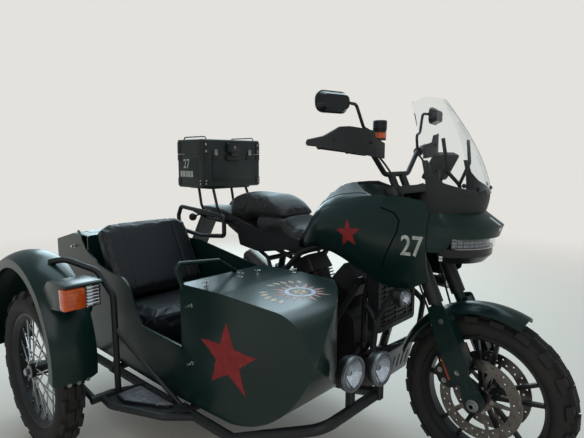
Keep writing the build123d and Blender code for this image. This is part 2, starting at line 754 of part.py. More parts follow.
fog_place = (1325.0, 192.0, 711.0)
fog_r = 35.0
fog_depth = 40.0
with BuildPart() as crash_bars:
    for hand in (-1, 1):
        flip = mirrored if hand < 0 else list
        add(tube(flip([(1085, 112, 640), (1150, 190, 640), (1200, 205, 590), (1180, 200, 420),
                       (1050, 150, 330), (980, 100, 320)]), 40, 13))
        add(tube(flip([(1195, 203, 596), (1262, fog_place[1], fog_place[2] - 4)]), 0, 11))
    for hand in (-1, 1):
        with BuildSketch(across(fog_place[0] - fog_depth)):
            with Locations((hand * fog_place[1], fog_place[2])):
                Circle(fog_r - 3)
        extrude(amount=fog_depth, taper=-4)
        with BuildSketch(across(fog_place[0])):
            with Locations((hand * fog_place[1], fog_place[2])):
                Circle(fog_r - 5)
        extrude(amount=-28, mode=Mode.SUBTRACT)
        with BuildSketch(across(1252)):
            with Locations((hand * fog_place[1], fog_place[2])):
                Rectangle(14, 34)
        extrude(amount=fog_place[0] - fog_depth + 4 - 1252)
    for neighbour in (engine, main_frame, radiator, exhaust, skid_plate):
        add(neighbour.part, mode=Mode.SUBTRACT)
crash_bars.part.label = "crash_bars"
export_step(crash_bars.part, "parts/crash_bars.step")

# Motorcycle bodywork

# columns: x, half width at the foot, widest half width and its height, half width at the
# shoulder and its height, crown height, foot height
tank_sections = (
    (700, 92, 108, 856, 70, 896, 912, 822),
    (800, 120, 158, 915, 116, 1010, 1046, 842),
    (930, 140, 198, 966, 152, 1086, 1124, 864),
    (1040, 146, 206, 980, 158, 1108, 1150, 884),
    (1130, 120, 190, 1010, 144, 1112, 1146, 960),
)
with BuildPart() as fuel_tank:
    for x, foot, wide, wide_z, shoulder, shoulder_z, crown, foot_z in tank_sections:
        with BuildSketch(across(x)):
            with BuildLine():
                Line((-foot, foot_z), (foot, foot_z))
                ThreePointArc((foot, foot_z), (wide, wide_z), (shoulder, shoulder_z))
                ThreePointArc((shoulder, shoulder_z), (0, crown), (-shoulder, shoulder_z))
                ThreePointArc((-shoulder, shoulder_z), (-wide, wide_z), (-foot, foot_z))
            make_face()
    loft()
    add(main_frame.part, mode=Mode.SUBTRACT)
    add(engine.part, mode=Mode.SUBTRACT)
    with BuildSketch(level(1100)):
        with Locations((940, 0)):
            Circle(50)
    extrude(amount=38)
    with BuildSketch(leg_cross(lower_clamp_t - 100)):
        with Locations((-fork_offset, 0)):
            Circle(hypot(fork_offset, fork_half) + upper_tube_r + 18)
    extrude(amount=600, mode=Mode.SUBTRACT)
fuel_tank.part.label = "fuel_tank"
export_step(fuel_tank.part, "parts/fuel_tank.step")

panel_wall = 5.0
# columns: x, foot half width and height, widest half width and height, head half width, height
panel_sections = (
    (880, 170, 850, 206, 940, 176, 1030),
    (1060, 172, 800, 222, 960, 176, 1096),
    (1240, 176, 742, 214, 930, 168, 1110),
    (1400, 150, 790, 192, 940, 150, 1092),
)
with BuildPart() as side_panels:
    for hand in (-1, 1):
        with BuildPart() as panel:
            for x, foot, foot_z, wide, wide_z, head, head_z in panel_sections:
                with BuildSketch(across(x)):
                    with BuildLine():
                        skin = panel_wall
                        ThreePointArc((hand * foot, foot_z), (hand * wide, wide_z),
                                      (hand * head, head_z))
                        Line((hand * head, head_z), (hand * (head - skin), head_z - 2))
                        ThreePointArc((hand * (head - skin), head_z - 2),
                                      (hand * (wide - skin), wide_z),
                                      (hand * (foot - skin), foot_z))
                        Line((hand * (foot - skin), foot_z), (hand * foot, foot_z))
                    make_face()
            loft()
    add(fuel_tank.part, mode=Mode.SUBTRACT)
side_panels.part.label = "side_panels"
export_step(side_panels.part, "parts/side_panels.step")

nose_wall = 5.0
lens_z = 942.0
lens_h = 42.0
lens_w = 320.0
lens_depth = 26.0
lip_low = 862.0
# columns: height, front, x and half width where the nose turns, x and half width at the back
nose_sections = (
    (lip_low, 1544, 1424, 130, 1376, 180),
    (890, 1570, 1442, 158, 1376, 186),
    (924, 1572, 1450, 168, 1376, 190),
    (964, 1595, 1452, 172, 1376, 189),
    (1006, 1609, 1448, 172, 1376, 183),
    (1054, 1538, 1434, 158, 1376, 168),
)


def nose_form(inset):
    """The nose's closed outer form, or the form inside its wall, with creases at its sections."""
    with BuildPart(mode=Mode.PRIVATE) as made:
        for z, front, turn_x, turn_half, back_x, back_half in nose_sections:
            back = back_x - (20 if inset else 0)
            with BuildSketch(level(z)):
                with BuildLine():
                    ThreePointArc((turn_x - inset, -turn_half + inset), (front - inset, 0),
                                  (turn_x - inset, turn_half - inset))
                    Line((turn_x - inset, turn_half - inset), (back, back_half - inset))
                    Line((back, back_half - inset), (back, inset - back_half))
                    Line((back, inset - back_half), (turn_x - inset, inset - turn_half))
                make_face()
        loft(ruled=True)
    return made.part


def nose_band(low, high, outer, inner):
    """The front of the nose between two heights, and between two insets from its form."""
    with BuildPart(mode=Mode.PRIVATE) as made:
        add(nose_form(outer))
        add(nose_form(inner), mode=Mode.SUBTRACT)
        with BuildSketch(across(1440)):
            with Locations((0, (low + high) / 2)):
                Rectangle(lens_w, high - low)
        extrude(amount=300, mode=Mode.INTERSECT)
    return made.part


def bowed_sheet(sections, wall):
    """A sheet bowed round the nose, lofted through level sections."""
    with BuildPart(mode=Mode.PRIVATE) as made:
        for z, front, edge, half in sections:
            with BuildSketch(level(z)):
                with BuildLine():
                    ThreePointArc((edge, -half), (front, 0), (edge, half))
                    Line((edge, half), (edge - 2, half - wall))
                    ThreePointArc((edge - 2, half - wall), (front - wall, 0), (edge - 2, wall - half))
                    Line((edge - 2, wall - half), (edge, -half))
                make_face()
        loft()
    return made.part


with BuildPart() as nose_fairing:
    add(nose_form(0))
    add(nose_form(nose_wall), mode=Mode.SUBTRACT)
    with BuildSketch(across(1300)):
        with Locations((0, 855)):
            Rectangle(600, 100)
    extrude(amount=400, mode=Mode.SUBTRACT)
    with BuildSketch(across(1440)):
        with Locations((0, lens_z + lens_h / 2 - 75)):
            Rectangle(lens_w, 150)
    extrude(amount=300, mode=Mode.SUBTRACT)
    add(side_panels.part, mode=Mode.SUBTRACT)
    add(main_frame.part, mode=Mode.SUBTRACT)
nose_fairing.part.label = "nose_fairing"
export_step(nose_fairing.part, "parts/nose_fairing.step")

with BuildPart() as headlamp:
    lens_low = lens_z - lens_h / 2
    lens_high = lens_z + lens_h / 2
    add(nose_band(lens_low - 4, lens_low, 0, lens_depth + 12))
    add(nose_band(lens_low, lens_high, lens_depth, lens_depth + 12))
    add(nose_band(lens_high, lens_high + 4, 4, lens_depth + 12))
    add(nose_band(lip_low, lens_low - 4, 0, nose_wall))
    add(nose_fairing.part, mode=Mode.SUBTRACT)
headlamp.part.label = "headlamp"
export_step(headlamp.part, "parts/headlamp.step")

screen_wall = 4.0
# columns: height, front, x and half width of the side edges
screen_sections = (
    (1120, 1555, 1404, 188),
    (1241, 1516, 1382, 198),
    (1366, 1446, 1348, 186),
    (1496, 1350, 1292, 150),
)
with BuildPart() as windscreen:
    add(bowed_sheet(screen_sections, screen_wall))
    with BuildSketch(across(1200)):
        with BuildLine():
            Polyline((-128, 1126), (128, 1126), (190, 1182), (204, 1300), (158, 1470), (104, 1496),
                     (-104, 1496), (-158, 1470), (-204, 1300), (-190, 1182), (-128, 1126))
        make_face()
        fillet(vertices(), 26)
    extrude(amount=500, mode=Mode.INTERSECT)
windscreen.part.label = "windscreen"
export_step(windscreen.part, "parts/windscreen.step")

screen_cowl_wall = 6.0
# columns: height, front, x and half width of the side edges
screen_cowl_sections = (
    (1046, 1535, 1392, 166),
    (1128, 1550, 1394, 186),
    (1252, 1510, 1374, 194),
)
with BuildPart() as screen_cowl:
    add(bowed_sheet(screen_cowl_sections, screen_cowl_wall))
    with BuildSketch(side(0)):
        with BuildLine():
            Polyline((1330, 1046), (1600, 1046), (1600, 1140), (1520, 1142), (1450, 1168), (1412, 1200),
                     (1392, 1252), (1330, 1252), (1330, 1046))
        make_face()
    extrude(amount=300, both=True, mode=Mode.INTERSECT)
    for neighbour in (windscreen, nose_fairing, side_panels):
        add(neighbour.part, mode=Mode.SUBTRACT)
screen_cowl.part.label = "screen_cowl"
export_step(screen_cowl.part, "parts/screen_cowl.step")

dash_tilt = 62.0
with BuildPart() as dash:
    facing = Vector(-cos(radians(90 - dash_tilt)), 0, sin(radians(90 - dash_tilt)))
    with BuildSketch(Plane(origin=at(1348, 0, 1232), x_dir=(0, -1, 0), z_dir=facing)):
        RectangleRounded(188, 116, 14)
    extrude(amount=-24)
    for hand in (-1, 1):
        flip = mirrored if hand < 0 else list
        add(tube(flip([(1362, 40, 1212), (1398, 96, 1150), (stay_x, 110, stay_z)]), 24, 8))
        add(tube(flip([(1398, 96, 1150), (1432, 108, 1240), (1419, 118, 1334)]), 30, 7))
    for neighbour in (main_frame, windscreen, screen_cowl, nose_fairing):
        add(neighbour.part, mode=Mode.SUBTRACT)
dash.part.label = "dash"
export_step(dash.part, "parts/dash.step")

# Seats and tail

cover_y = 130.0
cover_wall = 8.0
# columns: x, half width, foot height, head height
tail_sections = (
    (690, 118, 790, 826),
    (430, 126, 836, 884),
    (150, 100, 900, 950),
    (-150, 56, 925, 972),
)
with BuildPart() as tail_section:
    for x, half, low, high in tail_sections:
        with BuildSketch(across(x)):
            with Locations((0, (low + high) / 2)):
                RectangleRounded(2 * half, high - low, 14)
    loft()
    for hand in (-1, 1):
        with BuildSketch(side(hand * cover_y)):
            with BuildLine():
                Polyline((262, 906), (258, 850), (276, 790), (430, 770), (607, 802), (708, 827),
                         (708, 869), (500, 892), (262, 906))
            make_face()
            fillet(vertices(), 12)
        extrude(amount=hand * cover_wall)
    with BuildSketch(side(0)):
        with BuildLine():
            Polyline((-60, 936), (-150, 930), (-330, 640), (-346, 560), (-332, 556), (-312, 634),
                     (-140, 905), (-60, 912), (-60, 936))
        make_face()
    extrude(amount=62, both=True)
    add(main_frame.part, mode=Mode.SUBTRACT)
    add(swingarm.part, mode=Mode.SUBTRACT)
tail_section.part.label = "tail_section"
export_step(tail_section.part, "parts/tail_section.step")

with BuildPart() as rider_seat:
    with BuildSketch(side(0)):
        with BuildLine():
            Polyline((742, 846), (742, 884), (688, 904), (644, 914), (618, 938), (604, 961), (396, 961),
                     (380, 900), (524, 880), (742, 846))
        make_face()
    extrude(amount=148, both=True)
    with BuildSketch(level(700)):
        with BuildLine():
            Polyline((750, -78), (640, -136), (500, -142), (370, -126), (370, 126), (500, 142),
                     (640, 136), (750, 78), (750, -78))
        make_face()
    extrude(amount=400, mode=Mode.INTERSECT)
    add(fuel_tank.part, mode=Mode.SUBTRACT)
    add(tail_section.part, mode=Mode.SUBTRACT)
    add(main_frame.part, mode=Mode.SUBTRACT)
rider_seat.part.label = "rider_seat"
export_step(rider_seat.part, "parts/rider_seat.step")

with BuildPart() as pillion_seat:
    with BuildSketch(side(0)):
        with BuildLine():
            Polyline((606, 961.3), (608, 972), (588, 996), (546, 1032), (486, 1058), (310, 1064),
                     (200, 1056), (150, 1024), (150, 930), (270, 931), (352, 961.3), (606, 961.3))
        make_face()
    extrude(amount=132, both=True)
    with BuildSketch(level(700)):
        with BuildLine():
            Polyline((620, -118), (500, -130), (360, -122), (140, -92), (140, 92), (360, 122),
                     (500, 130), (620, 118), (620, -118))
        make_face()
    extrude(amount=400, mode=Mode.INTERSECT)
    for neighbour in (tail_section, main_frame, rider_seat):
        add(neighbour.part, mode=Mode.SUBTRACT)
pillion_seat.part.label = "pillion_seat"
export_step(pillion_seat.part, "parts/pillion_seat.step")

rack_top = box_bottom
with BuildPart() as luggage_rack:
    for hand in (-1, 1):
        flip = mirrored if hand < 0 else list
        add(tube(flip([(226, 198, 890), (226, 198, 948), (-168, 198, 976), (-197, 198, 921),
                       (-190, 198, 842), (20, 198, 820)]), 26, rack_tube_r))
        add(tube(flip([(226, 198, 890), (226, 198, 840), (20, 198, 820)]), 20, rack_tube_r))
        add(tube(flip([(-70, 96, 910), (-70, 198, 968)]), 0, 8))
        add(tube(flip([(150, 101, 897), (150, 198, 952)]), 0, 8))
        add(tube(flip([(-70, 88, 912), (-70, 124, 990), (-90, 124, rack_top - 5)]), 20, 8))
        add(tube(flip([(110, 90, 905), (90, 132, 980), (44, 124, rack_top - 5)]), 20, 8))
    with BuildSketch(level(rack_top - 8)):
        with Locations((box_x, 0)):
            RectangleRounded(box_l - 20, box_w - 130, 30)
            with GridLocations(52, 130, 4, 2):
                SlotOverall(100, 26, rotation=90, mode=Mode.SUBTRACT)
    extrude(amount=8)
    for neighbour in (main_frame, tail_section, pillion_seat):
        add(neighbour.part, mode=Mode.SUBTRACT)
luggage_rack.part.label = "luggage_rack"
export_step(luggage_rack.part, "parts/luggage_rack.step")

box_hinge = (box_x - box_l / 2 - knuckle_r - 1, box_seam)
# columns: where the lid's knuckles start and end along the hinge
box_knuckles = ((-130, -70), (70, 130))
latch_w = 96.0
latch_depth = 18.0
with BuildPart() as top_box:
    with BuildSketch(level(box_bottom)):
        with Locations((box_x, 0)):
            RectangleRounded(box_l, box_w, box_corner_r)
    extrude(amount=box_seam - box_bottom)
    chamfer(top_box.faces().sort_by(Axis.Z)[0].edges(), box_foot)
    with BuildSketch(level(box_bottom + box_wall)):
        with Locations((box_x, 0)):
            RectangleRounded(box_l - 2 * box_wall - box_foot, box_w - 2 * box_wall - box_foot,
                             box_corner_r - box_wall)
    extrude(amount=box_seam - box_bottom, mode=Mode.SUBTRACT)
    for start, end in box_knuckles:
        for y in (start - 24 - knuckle_gap, end + knuckle_gap):
            add(knuckle(box_hinge, y, y + 24, 0))
            with BuildSketch(side(y)):
                with Locations((box_hinge[0] + 6, box_seam - 12)):
                    Rectangle(12, 16)
            extrude(amount=-24)
        with BuildSketch(side(start - 10)):
            with Locations((box_hinge[0], box_hinge[1])):
                Circle(hinge_pin_r)
        extrude(amount=start - end - 20)
top_box.part.label = "top_box"
export_step(top_box.part, "parts/top_box.step")

with BuildPart() as top_box_lid:
    with BuildSketch(level(box_seam + lid_gap)):
        with Locations((box_x, 0)):
            RectangleRounded(box_l, box_w, box_corner_r)
    extrude(amount=box_top - box_seam - lid_gap)
    fillet(top_box_lid.faces().sort_by(Axis.Z)[-1].edges(), 10)
    with BuildSketch(level(box_seam)):
        with Locations((box_x, 0)):
            RectangleRounded(box_l - 2 * box_wall, box_w - 2 * box_wall, box_corner_r - box_wall)
    extrude(amount=box_top - box_seam - box_wall, mode=Mode.SUBTRACT)
    with BuildSketch(across(box_x + box_l / 2 - 4)):
        with Locations((0, box_seam + 38)):
            RectangleRounded(latch_w, 54, 8)
    extrude(amount=latch_depth + 4)
    for start, end in box_knuckles:
        with BuildSketch(side(start)):
            with Locations((box_hinge[0] + 5, box_seam + 12)):
                Rectangle(10, 18)
        extrude(amount=start - end)
        add(knuckle(box_hinge, start, end, 0))
        with BuildSketch(side(start)):
            with Locations((box_hinge[0], box_hinge[1])):
                Circle(hinge_pin_r + running_gap)
        extrude(amount=start - end, mode=Mode.SUBTRACT)
top_box_lid.part.label = "top_box_lid"
export_step(top_box_lid.part, "parts/top_box_lid.step")

with BuildPart() as foot_pegs:
    for hand, reach in ((-1, 205), (1, 262)):
        flip = mirrored if hand < 0 else list
        add(tube(flip([(650, 112, 352), (650, 140, 330)]), 0, 11))
        add(tube(flip([(650, 135, 330), (650, reach, 330)]), 0, 15))
        add(tube(flip([(540, 100, 345), (650, 112, 352)]), 0, 11))
    for neighbour in (main_frame, engine, exhaust, skid_plate, swingarm):
        add(neighbour.part, mode=Mode.SUBTRACT)
foot_pegs.part.label = "foot_pegs"
export_step(foot_pegs.part, "parts/foot_pegs.step")

stand_pivot = (590.0, 168.0, 286.0)
stand_l = 262.0
with BuildPart() as side_stand:
    add(tube([stand_pivot, (stand_pivot[0] - stand_l, stand_pivot[1] + 16, stand_pivot[2])], 0, 12))
    with BuildSketch(side(stand_pivot[1] - 12)):
        with Locations((stand_pivot[0], stand_pivot[2])):
            Circle(20)
    extrude(amount=-24)
side_stand.part.label = "side_stand"
export_step(side_stand.part, "parts/side_stand.step")

# Sidecar body

seam_x = 600.0


def car_form(inset):
    """The sidecar body's closed outer form, or the form inside a wall."""
    with BuildPart(mode=Mode.PRIVATE) as made:
        with BuildSketch(side(0)):
            with BuildLine():
                Polyline((944, 293), (640, 281), (-300, 296))
                ThreePointArc((-300, 296), (-470, 372), (-540, 560))
                Line((-540, 560), (-tail_reach, 740))
                ThreePointArc((-tail_reach, 740), (-540, 790), (-508, 818))
                Polyline((-508, 818), (-248, 883), (-150, 872), (660, 768), (900, 775), (1190, 768))
                ThreePointArc((1190, 768), (1293, 725), (1348, 625))
                ThreePointArc((1348, 625), (1225, 433), (944, 293))
            make_face()
            offset(amount=-inset)
        extrude(amount=-1.5 * car_outer_y)
        with BuildSketch(level(0)):
            with BuildLine():
                Polyline((1352, car_outer_y), (-520, car_outer_y), (-tail_reach, car_outer_y + 28),
                         (-tail_reach, car_inner_y - 70), (-478, car_inner_y), (940, car_inner_y))
                ThreePointArc((940, car_inner_y), (1228, -510), (1352, car_outer_y))
            make_face()
            offset(amount=-inset)
        extrude(amount=1200, mode=Mode.INTERSECT)
        with BuildSketch(across(-700)):
            with BuildLine():
                Polyline((car_inner_y, 300), (car_inner_y - 22, 270), (car_outer_y, 270),
                         (car_outer_y, 867))
                ThreePointArc((car_outer_y, 867), (-500, 892), (-300, 866))
                ThreePointArc((-300, 866), (-244, 836), (car_inner_y, 780))
                Line((car_inner_y, 780), (car_inner_y, 300))
            make_face()
            offset(amount=-inset)
        extrude(amount=2200, mode=Mode.INTERSECT)
        with BuildSketch(across(seam_x)):
            with BuildLine():
                Line((100, 900), (-330, 900))
                Line((-330, 900), (-330, 757))
                ThreePointArc((-330, 757), (-258, 722), (car_inner_y, 650))
                Polyline((car_inner_y, 650), (100, 650), (100, 900))
            make_face()
            offset(amount=inset)
        extrude(amount=1000, mode=Mode.SUBTRACT)
    return made.part


boot_hinge = (boot_front_x - 43.0, 886.0)
boot_hatch_front = boot_front_x - 40.0
boot_hatch_w = 470.0
car_mid_y = (car_outer_y + car_inner_y) / 2
# columns: where the boot lid's knuckles start and end along the hinge
boot_knuckles = ((car_mid_y - 110, car_mid_y - 70), (car_mid_y + 70, car_mid_y + 110))

edge_bead = 5.0


def cockpit_edge():
    """The edge of the cockpit along the outer side, from the cowl to the boot."""
    with BuildLine(mode=Mode.PRIVATE) as made:
        Line((cowl_x - 6, 503), (350, 516))
        ThreePointArc((350, 516), (300, 580), (255, 665))
        ThreePointArc((255, 665), (216, 700), (160, 710))
        Polyline((160, 710), (78, 715), (-42, 738), (-166, 795), (-248, 884))
    return made.line


def car_shell():
    """The sidecar body's open shell, with the cockpit and the boot's hatch cut out."""
    with BuildPart(mode=Mode.PRIVATE) as made:
        add(car_form(0))
        add(car_form(car_wall), mode=Mode.SUBTRACT)
        with BuildSketch(level(440)):
            with BuildLine():
                Polyline((boot_front_x + 8, car_outer_y + car_wall), (cowl_x - 6, car_outer_y + car_wall),
                         (cowl_x - 6, car_inner_y - car_wall), (boot_front_x + 8, car_inner_y - car_wall),
                         (boot_front_x + 8, car_outer_y + car_wall))
            make_face()
        extrude(amount=600, mode=Mode.SUBTRACT)
        with BuildSketch(side(car_outer_y - 10)):
            with BuildLine():
                add(cockpit_edge())
                Polyline((-248, 884), (-248, 1000), (cowl_x - 6, 1000), (cowl_x - 6, 503))
            make_face()
        extrude(amount=-16, mode=Mode.SUBTRACT)
        with BuildSketch(side(car_outer_y - 3)):
            with BuildLine():
                offset(cockpit_edge(), edge_bead, side=Side.BOTH)
            make_face()
        extrude(amount=-2 * edge_bead)
        with BuildSketch(side(car_inner_y + 10)):
            with BuildLine():
                Polyline((boot_front_x + 8, 835), (cowl_x - 6, 704), (cowl_x - 6, 1000),
                         (boot_front_x + 8, 1000), (boot_front_x + 8, 835))
            make_face()
        extrude(amount=24, mode=Mode.SUBTRACT)
        with BuildSketch(level(700)):
            with Locations(((boot_hatch_front + boot_rear_x) / 2, car_mid_y)):
                RectangleRounded(boot_hatch_front - boot_rear_x, boot_hatch_w, 24)
        extrude(amount=400, mode=Mode.SUBTRACT)
    return made.part


def between(front, rear):
    """A broad block over the sidecar from rear to front, to part the shell with."""
    with BuildPart(mode=Mode.PRIVATE) as made:
        with BuildSketch(across(rear)):
            with Locations((car_mid_y, 600)):
                Rectangle(800, 800)
        extrude(amount=front - rear)
    return made.part


with BuildPart() as sidecar_body:
    add(car_shell())
    add(between(cowl_x - 6, boot_front_x), mode=Mode.INTERSECT)
    with BuildSketch(side(car_outer_y)):
        with BuildLine():
            Polyline((boot_front_x, 290), (boot_front_x + 8, 290), (boot_front_x + 8, 868),
                     (boot_front_x, 869), (boot_front_x, 290))
        make_face()
    extrude(amount=car_outer_y - car_inner_y)
    with BuildSketch(side(car_outer_y)):
        with BuildLine():
            Polyline((boot_front_x, 412), (404, 412), (404, 284), (400, 284), (400, 408),
                     (boot_front_x, 408), (boot_front_x, 412))
        make_face()
    extrude(amount=car_outer_y - car_inner_y)
sidecar_body.part.label = "sidecar_body"
export_step(sidecar_body.part, "parts/sidecar_body.step")

with BuildPart() as sidecar_cowl:
    add(car_shell())
    add(between(1500, cowl_x - 6), mode=Mode.INTERSECT)
sidecar_cowl.part.label = "sidecar_cowl"
export_step(sidecar_cowl.part, "parts/sidecar_cowl.step")

with BuildPart() as sidecar_boot:
    add(car_shell())
    add(between(boot_front_x, -700), mode=Mode.INTERSECT)
    for start, end in boot_knuckles:
        for y in (start - 20 - knuckle_gap, end + knuckle_gap):
            add(knuckle(boot_hinge, y, y + 20, 0))
            with BuildSketch(side(y)):
                with Locations((boot_hinge[0] + 10, boot_hinge[1] - 5)):
                    Rectangle(16, 12)
            extrude(amount=-20)
        with BuildSketch(side(start - 10)):
            with Locations(boot_hinge):
                Circle(hinge_pin_r)
        extrude(amount=start - end - 20)
sidecar_boot.part.label = "sidecar_boot"
export_step(sidecar_boot.part, "parts/sidecar_boot.step")

lid_clear = 6.0
with BuildPart() as sidecar_boot_lid:
    add(car_form(0))
    add(car_form(car_wall), mode=Mode.SUBTRACT)
    with BuildSketch(level(700)):
        with Locations(((boot_hatch_front + boot_rear_x) / 2, car_mid_y)):
            RectangleRounded(boot_hatch_front - boot_rear_x - 2 * lid_clear,
                             boot_hatch_w - 2 * lid_clear, 20)
    extrude(amount=400, mode=Mode.INTERSECT)
    for start, end in boot_knuckles:
        with BuildSketch(side(start)):
            with Locations((boot_hinge[0] - 12, boot_hinge[1] - 6)):
                Rectangle(20, 7)
        extrude(amount=start - end)
        add(knuckle(boot_hinge, start, end, 0))
        with BuildSketch(side(start)):
            with Locations(boot_hinge):
                Circle(hinge_pin_r + running_gap)
        extrude(amount=start - end, mode=Mode.SUBTRACT)
sidecar_boot_lid.part.label = "sidecar_boot_lid"
export_step(sidecar_boot_lid.part, "parts/sidecar_boot_lid.step")

with BuildPart() as sidecar_seat:
    with BuildSketch(side(0)):
        with BuildLine():
            Polyline((20, 412.3), (398, 412.3), (408, 552), (380, 572), (60, 548), (20, 412.3))
        make_face()
        fillet(vertices(), 12)
    extrude(amount=1000)
    with BuildSketch(level(300)):
        with Locations((200, car_mid_y)):
            RectangleRounded(520, 506, 40)
    extrude(amount=400, mode=Mode.INTERSECT)
sidecar_seat.part.label = "sidecar_seat"
export_step(sidecar_seat.part, "parts/sidecar_seat.step")

with BuildPart() as sidecar_backrest:
    with BuildSketch(side(0)):
        with BuildLine():
            Polyline((52, 560), (-138, 880), (-138, 936), (-72, 944), (130, 574), (52, 560))
        make_face()
        fillet(vertices(), 16)
    extrude(amount=1000)
    with BuildSketch(across(-300)):
        with Locations((car_mid_y, 748)):
            RectangleRounded(534, 396, 50)
    extrude(amount=800, mode=Mode.INTERSECT)
    add(sidecar_body.part, mode=Mode.SUBTRACT)
    add(sidecar_seat.part, mode=Mode.SUBTRACT)
sidecar_backrest.part.label = "sidecar_backrest"
export_step(sidecar_backrest.part, "parts/sidecar_backrest.step")

# Sidecar chassis

rail_z = 258.0
outer_rail_y = -800.0
inner_rail_y = -196.0
with BuildPart() as sidecar_frame:
    add(tube([(-330, -500, rail_z), (-330, outer_rail_y, rail_z), (985, outer_rail_y, rail_z),
              (1335, -720, 400), (1345, -570, 410)], 70, car_tube_r))
    add(tube([(-330, -500, rail_z), (-330, inner_rail_y, rail_z), (1100, inner_rail_y, rail_z),
              (1355, -420, 420), (1345, -570, 410)], 70, car_tube_r))
    for x in (120, 700):
        add(tube([(x, outer_rail_y, rail_z), (x, inner_rail_y, rail_z)], 0, car_tube_r - 3))
sidecar_frame.part.label = "sidecar_frame"
export_step(sidecar_frame.part, "parts/sidecar_frame.step")

car_fender_x = 50.0
car_fender_z = 470.0
car_fender_r = 400.0
car_fender_wall = 3.0


def car_fender_end():
    """The plane of the sidecar fender's front end: local x outward, local y left."""
    start = radians(-10)
    return Plane(origin=at(car_fender_x, -track, car_fender_z),
                 x_dir=(cos(start), 0, sin(start)), z_dir=(-sin(start), 0, cos(start)))


def car_fender_form(wall):
    """The sidecar fender's band, its wall measured outward from the inner face."""
    half = fender_w / 2 - car_fender_wall
    crown_r = car_fender_r - car_fender_wall
    with BuildPart(mode=Mode.PRIVATE) as made:
        with BuildSketch(car_fender_end()):
            with BuildLine() as crown:
                Line((crown_r - 60, -half), (crown_r - 26, -half))
                ThreePointArc((crown_r - 26, -half), (crown_r, 0), (crown_r - 26, half))
                Line((crown_r - 26, half), (crown_r - 60, half))
                offset(crown.line, wall, side=Side.RIGHT)
            make_face()
        revolve(axis=Axis(at(car_fender_x, -track, car_fender_z), (0, -1, 0)), revolution_arc=206)
    return made.part


fender_bead = 4.0
bead_gap = 1.5


def car_fender_beads(radius):
    """The rolled beads along both edges of the sidecar fender."""
    with BuildPart(mode=Mode.PRIVATE) as made:
        with BuildSketch(car_fender_end()):
            for hand in (-1, 1):
                with Locations((car_fender_r - car_fender_wall - 60, hand * (fender_w / 2 - fender_bead))):
                    Circle(radius)
        revolve(axis=Axis(at(car_fender_x, -track, car_fender_z), (0, -1, 0)), revolution_arc=206)
    return made.part


with BuildPart() as sidecar_fender:
    add(car_fender_form(car_fender_wall))
    add(car_fender_beads(fender_bead))
sidecar_fender.part.label = "sidecar_fender"
export_step(sidecar_fender.part, "parts/sidecar_fender.step")

arm_y = -1032.0
with BuildPart() as sidecar_suspension:
    add(tube([(400, outer_rail_y, rail_z), (400, -960, 288), (400, arm_y - 12, 288)], 40, 17))
    add(tube([(400, arm_y, 288), (car_wheel_lead, arm_y, car_tyre_r)], 0, 13))
    add(tube([(car_wheel_lead, arm_y + 16, car_tyre_r), (car_wheel_lead, -track - 66, car_tyre_r)],
             0, axle_r))
    add(tube([(car_wheel_lead, arm_y + 16, car_tyre_r), (car_wheel_lead, arm_y - 22, car_tyre_r)], 0, 22))
    add(tube([(405, -930, 288), (400, -930, 700), (330, -960, 800), (240, -1060, 850)], 60, 13))
    add(tube([(402, -930, 560), (700, outer_rail_y, rail_z)], 0, 10))
    add(tube([(-120, outer_rail_y, rail_z), (-120, -950, 300), (-110, -970, 640), (-60, -1040, 836)],
             60, 12))
    add(tube([(120, arm_y + 6, 335), (300, -950, 760)], 0, 12))
    add(tube([(150, arm_y + 12, 400), (270, -965, 690)], 0, 27))
    add(sidecar_frame.part, mode=Mode.SUBTRACT)
    add(car_fender_form(60), mode=Mode.SUBTRACT)
    add(car_fender_beads(fender_bead + bead_gap), mode=Mode.SUBTRACT)
    add(car_form(0), mode=Mode.SUBTRACT)
sidecar_suspension.part.label = "sidecar_suspension"
export_step(sidecar_suspension.part, "parts/sidecar_suspension.step")

with BuildPart() as sidecar_struts:
    for start, end in (((1070, -118, 430), (1000, inner_rail_y, rail_z)),
                       ((540, -126, 340), (430, inner_rail_y, rail_z)),
                       ((1060, -122, 720), (820, inner_rail_y, rail_z + 10)),
                       ((600, -126, 700), (250, inner_rail_y, rail_z + 10))):
        add(tube([start, end], 0, 13))
        with BuildSketch(side(start[1] + 14)):
            with Locations((start[0], start[2])):
                Circle(20)
        extrude(amount=28)
    for neighbour in (main_frame, engine, skid_plate, crash_bars, swingarm, exhaust, radiator, foot_pegs,
                      sidecar_frame):
        add(neighbour.part, mode=Mode.SUBTRACT)
    add(car_form(0), mode=Mode.SUBTRACT)
sidecar_struts.part.label = "sidecar_struts"
export_step(sidecar_struts.part, "parts/sidecar_struts.step")

step_top = 300.0
with BuildPart() as sidecar_step:
    add(tube([(770, outer_rail_y, rail_z), (700, -905, 276), (500, -1010, 290), (408, -1000, 288)],
             50, 14))
    with BuildSketch(level(282)):
        with BuildLine():
            Polyline((752, outer_rail_y - 14), (704, -894), (500, -1006), (426, -996), (426, -832),
                     (752, outer_rail_y - 14))
        make_face()
    extrude(amount=6)
    with BuildSketch(level(286)):
        with BuildLine():
            Polyline((694, -846), (672, -878), (516, -966), (446, -960), (446, -850), (694, -846))
        make_face()
        fillet(vertices(), 12)
    extrude(amount=step_top - 286)
    for neighbour in (sidecar_frame, sidecar_suspension, sidecar_fender):
        add(neighbour.part, mode=Mode.SUBTRACT)
    add(car_form(0), mode=Mode.SUBTRACT)
sidecar_step.part.label = "sidecar_step"
export_step(sidecar_step.part, "parts/sidecar_step.step")

with BuildPart() as sidecar_grab_rail:
    add(tube([(666, -770, 742), (662, -799, 830), (662, -780, 849), (662, -590, 832),
              (666, -500, 770)], 16, 9))
    add(car_form(0), mode=Mode.SUBTRACT)
sidecar_grab_rail.part.label = "sidecar_grab_rail"
export_step(sidecar_grab_rail.part, "parts/sidecar_grab_rail.step")

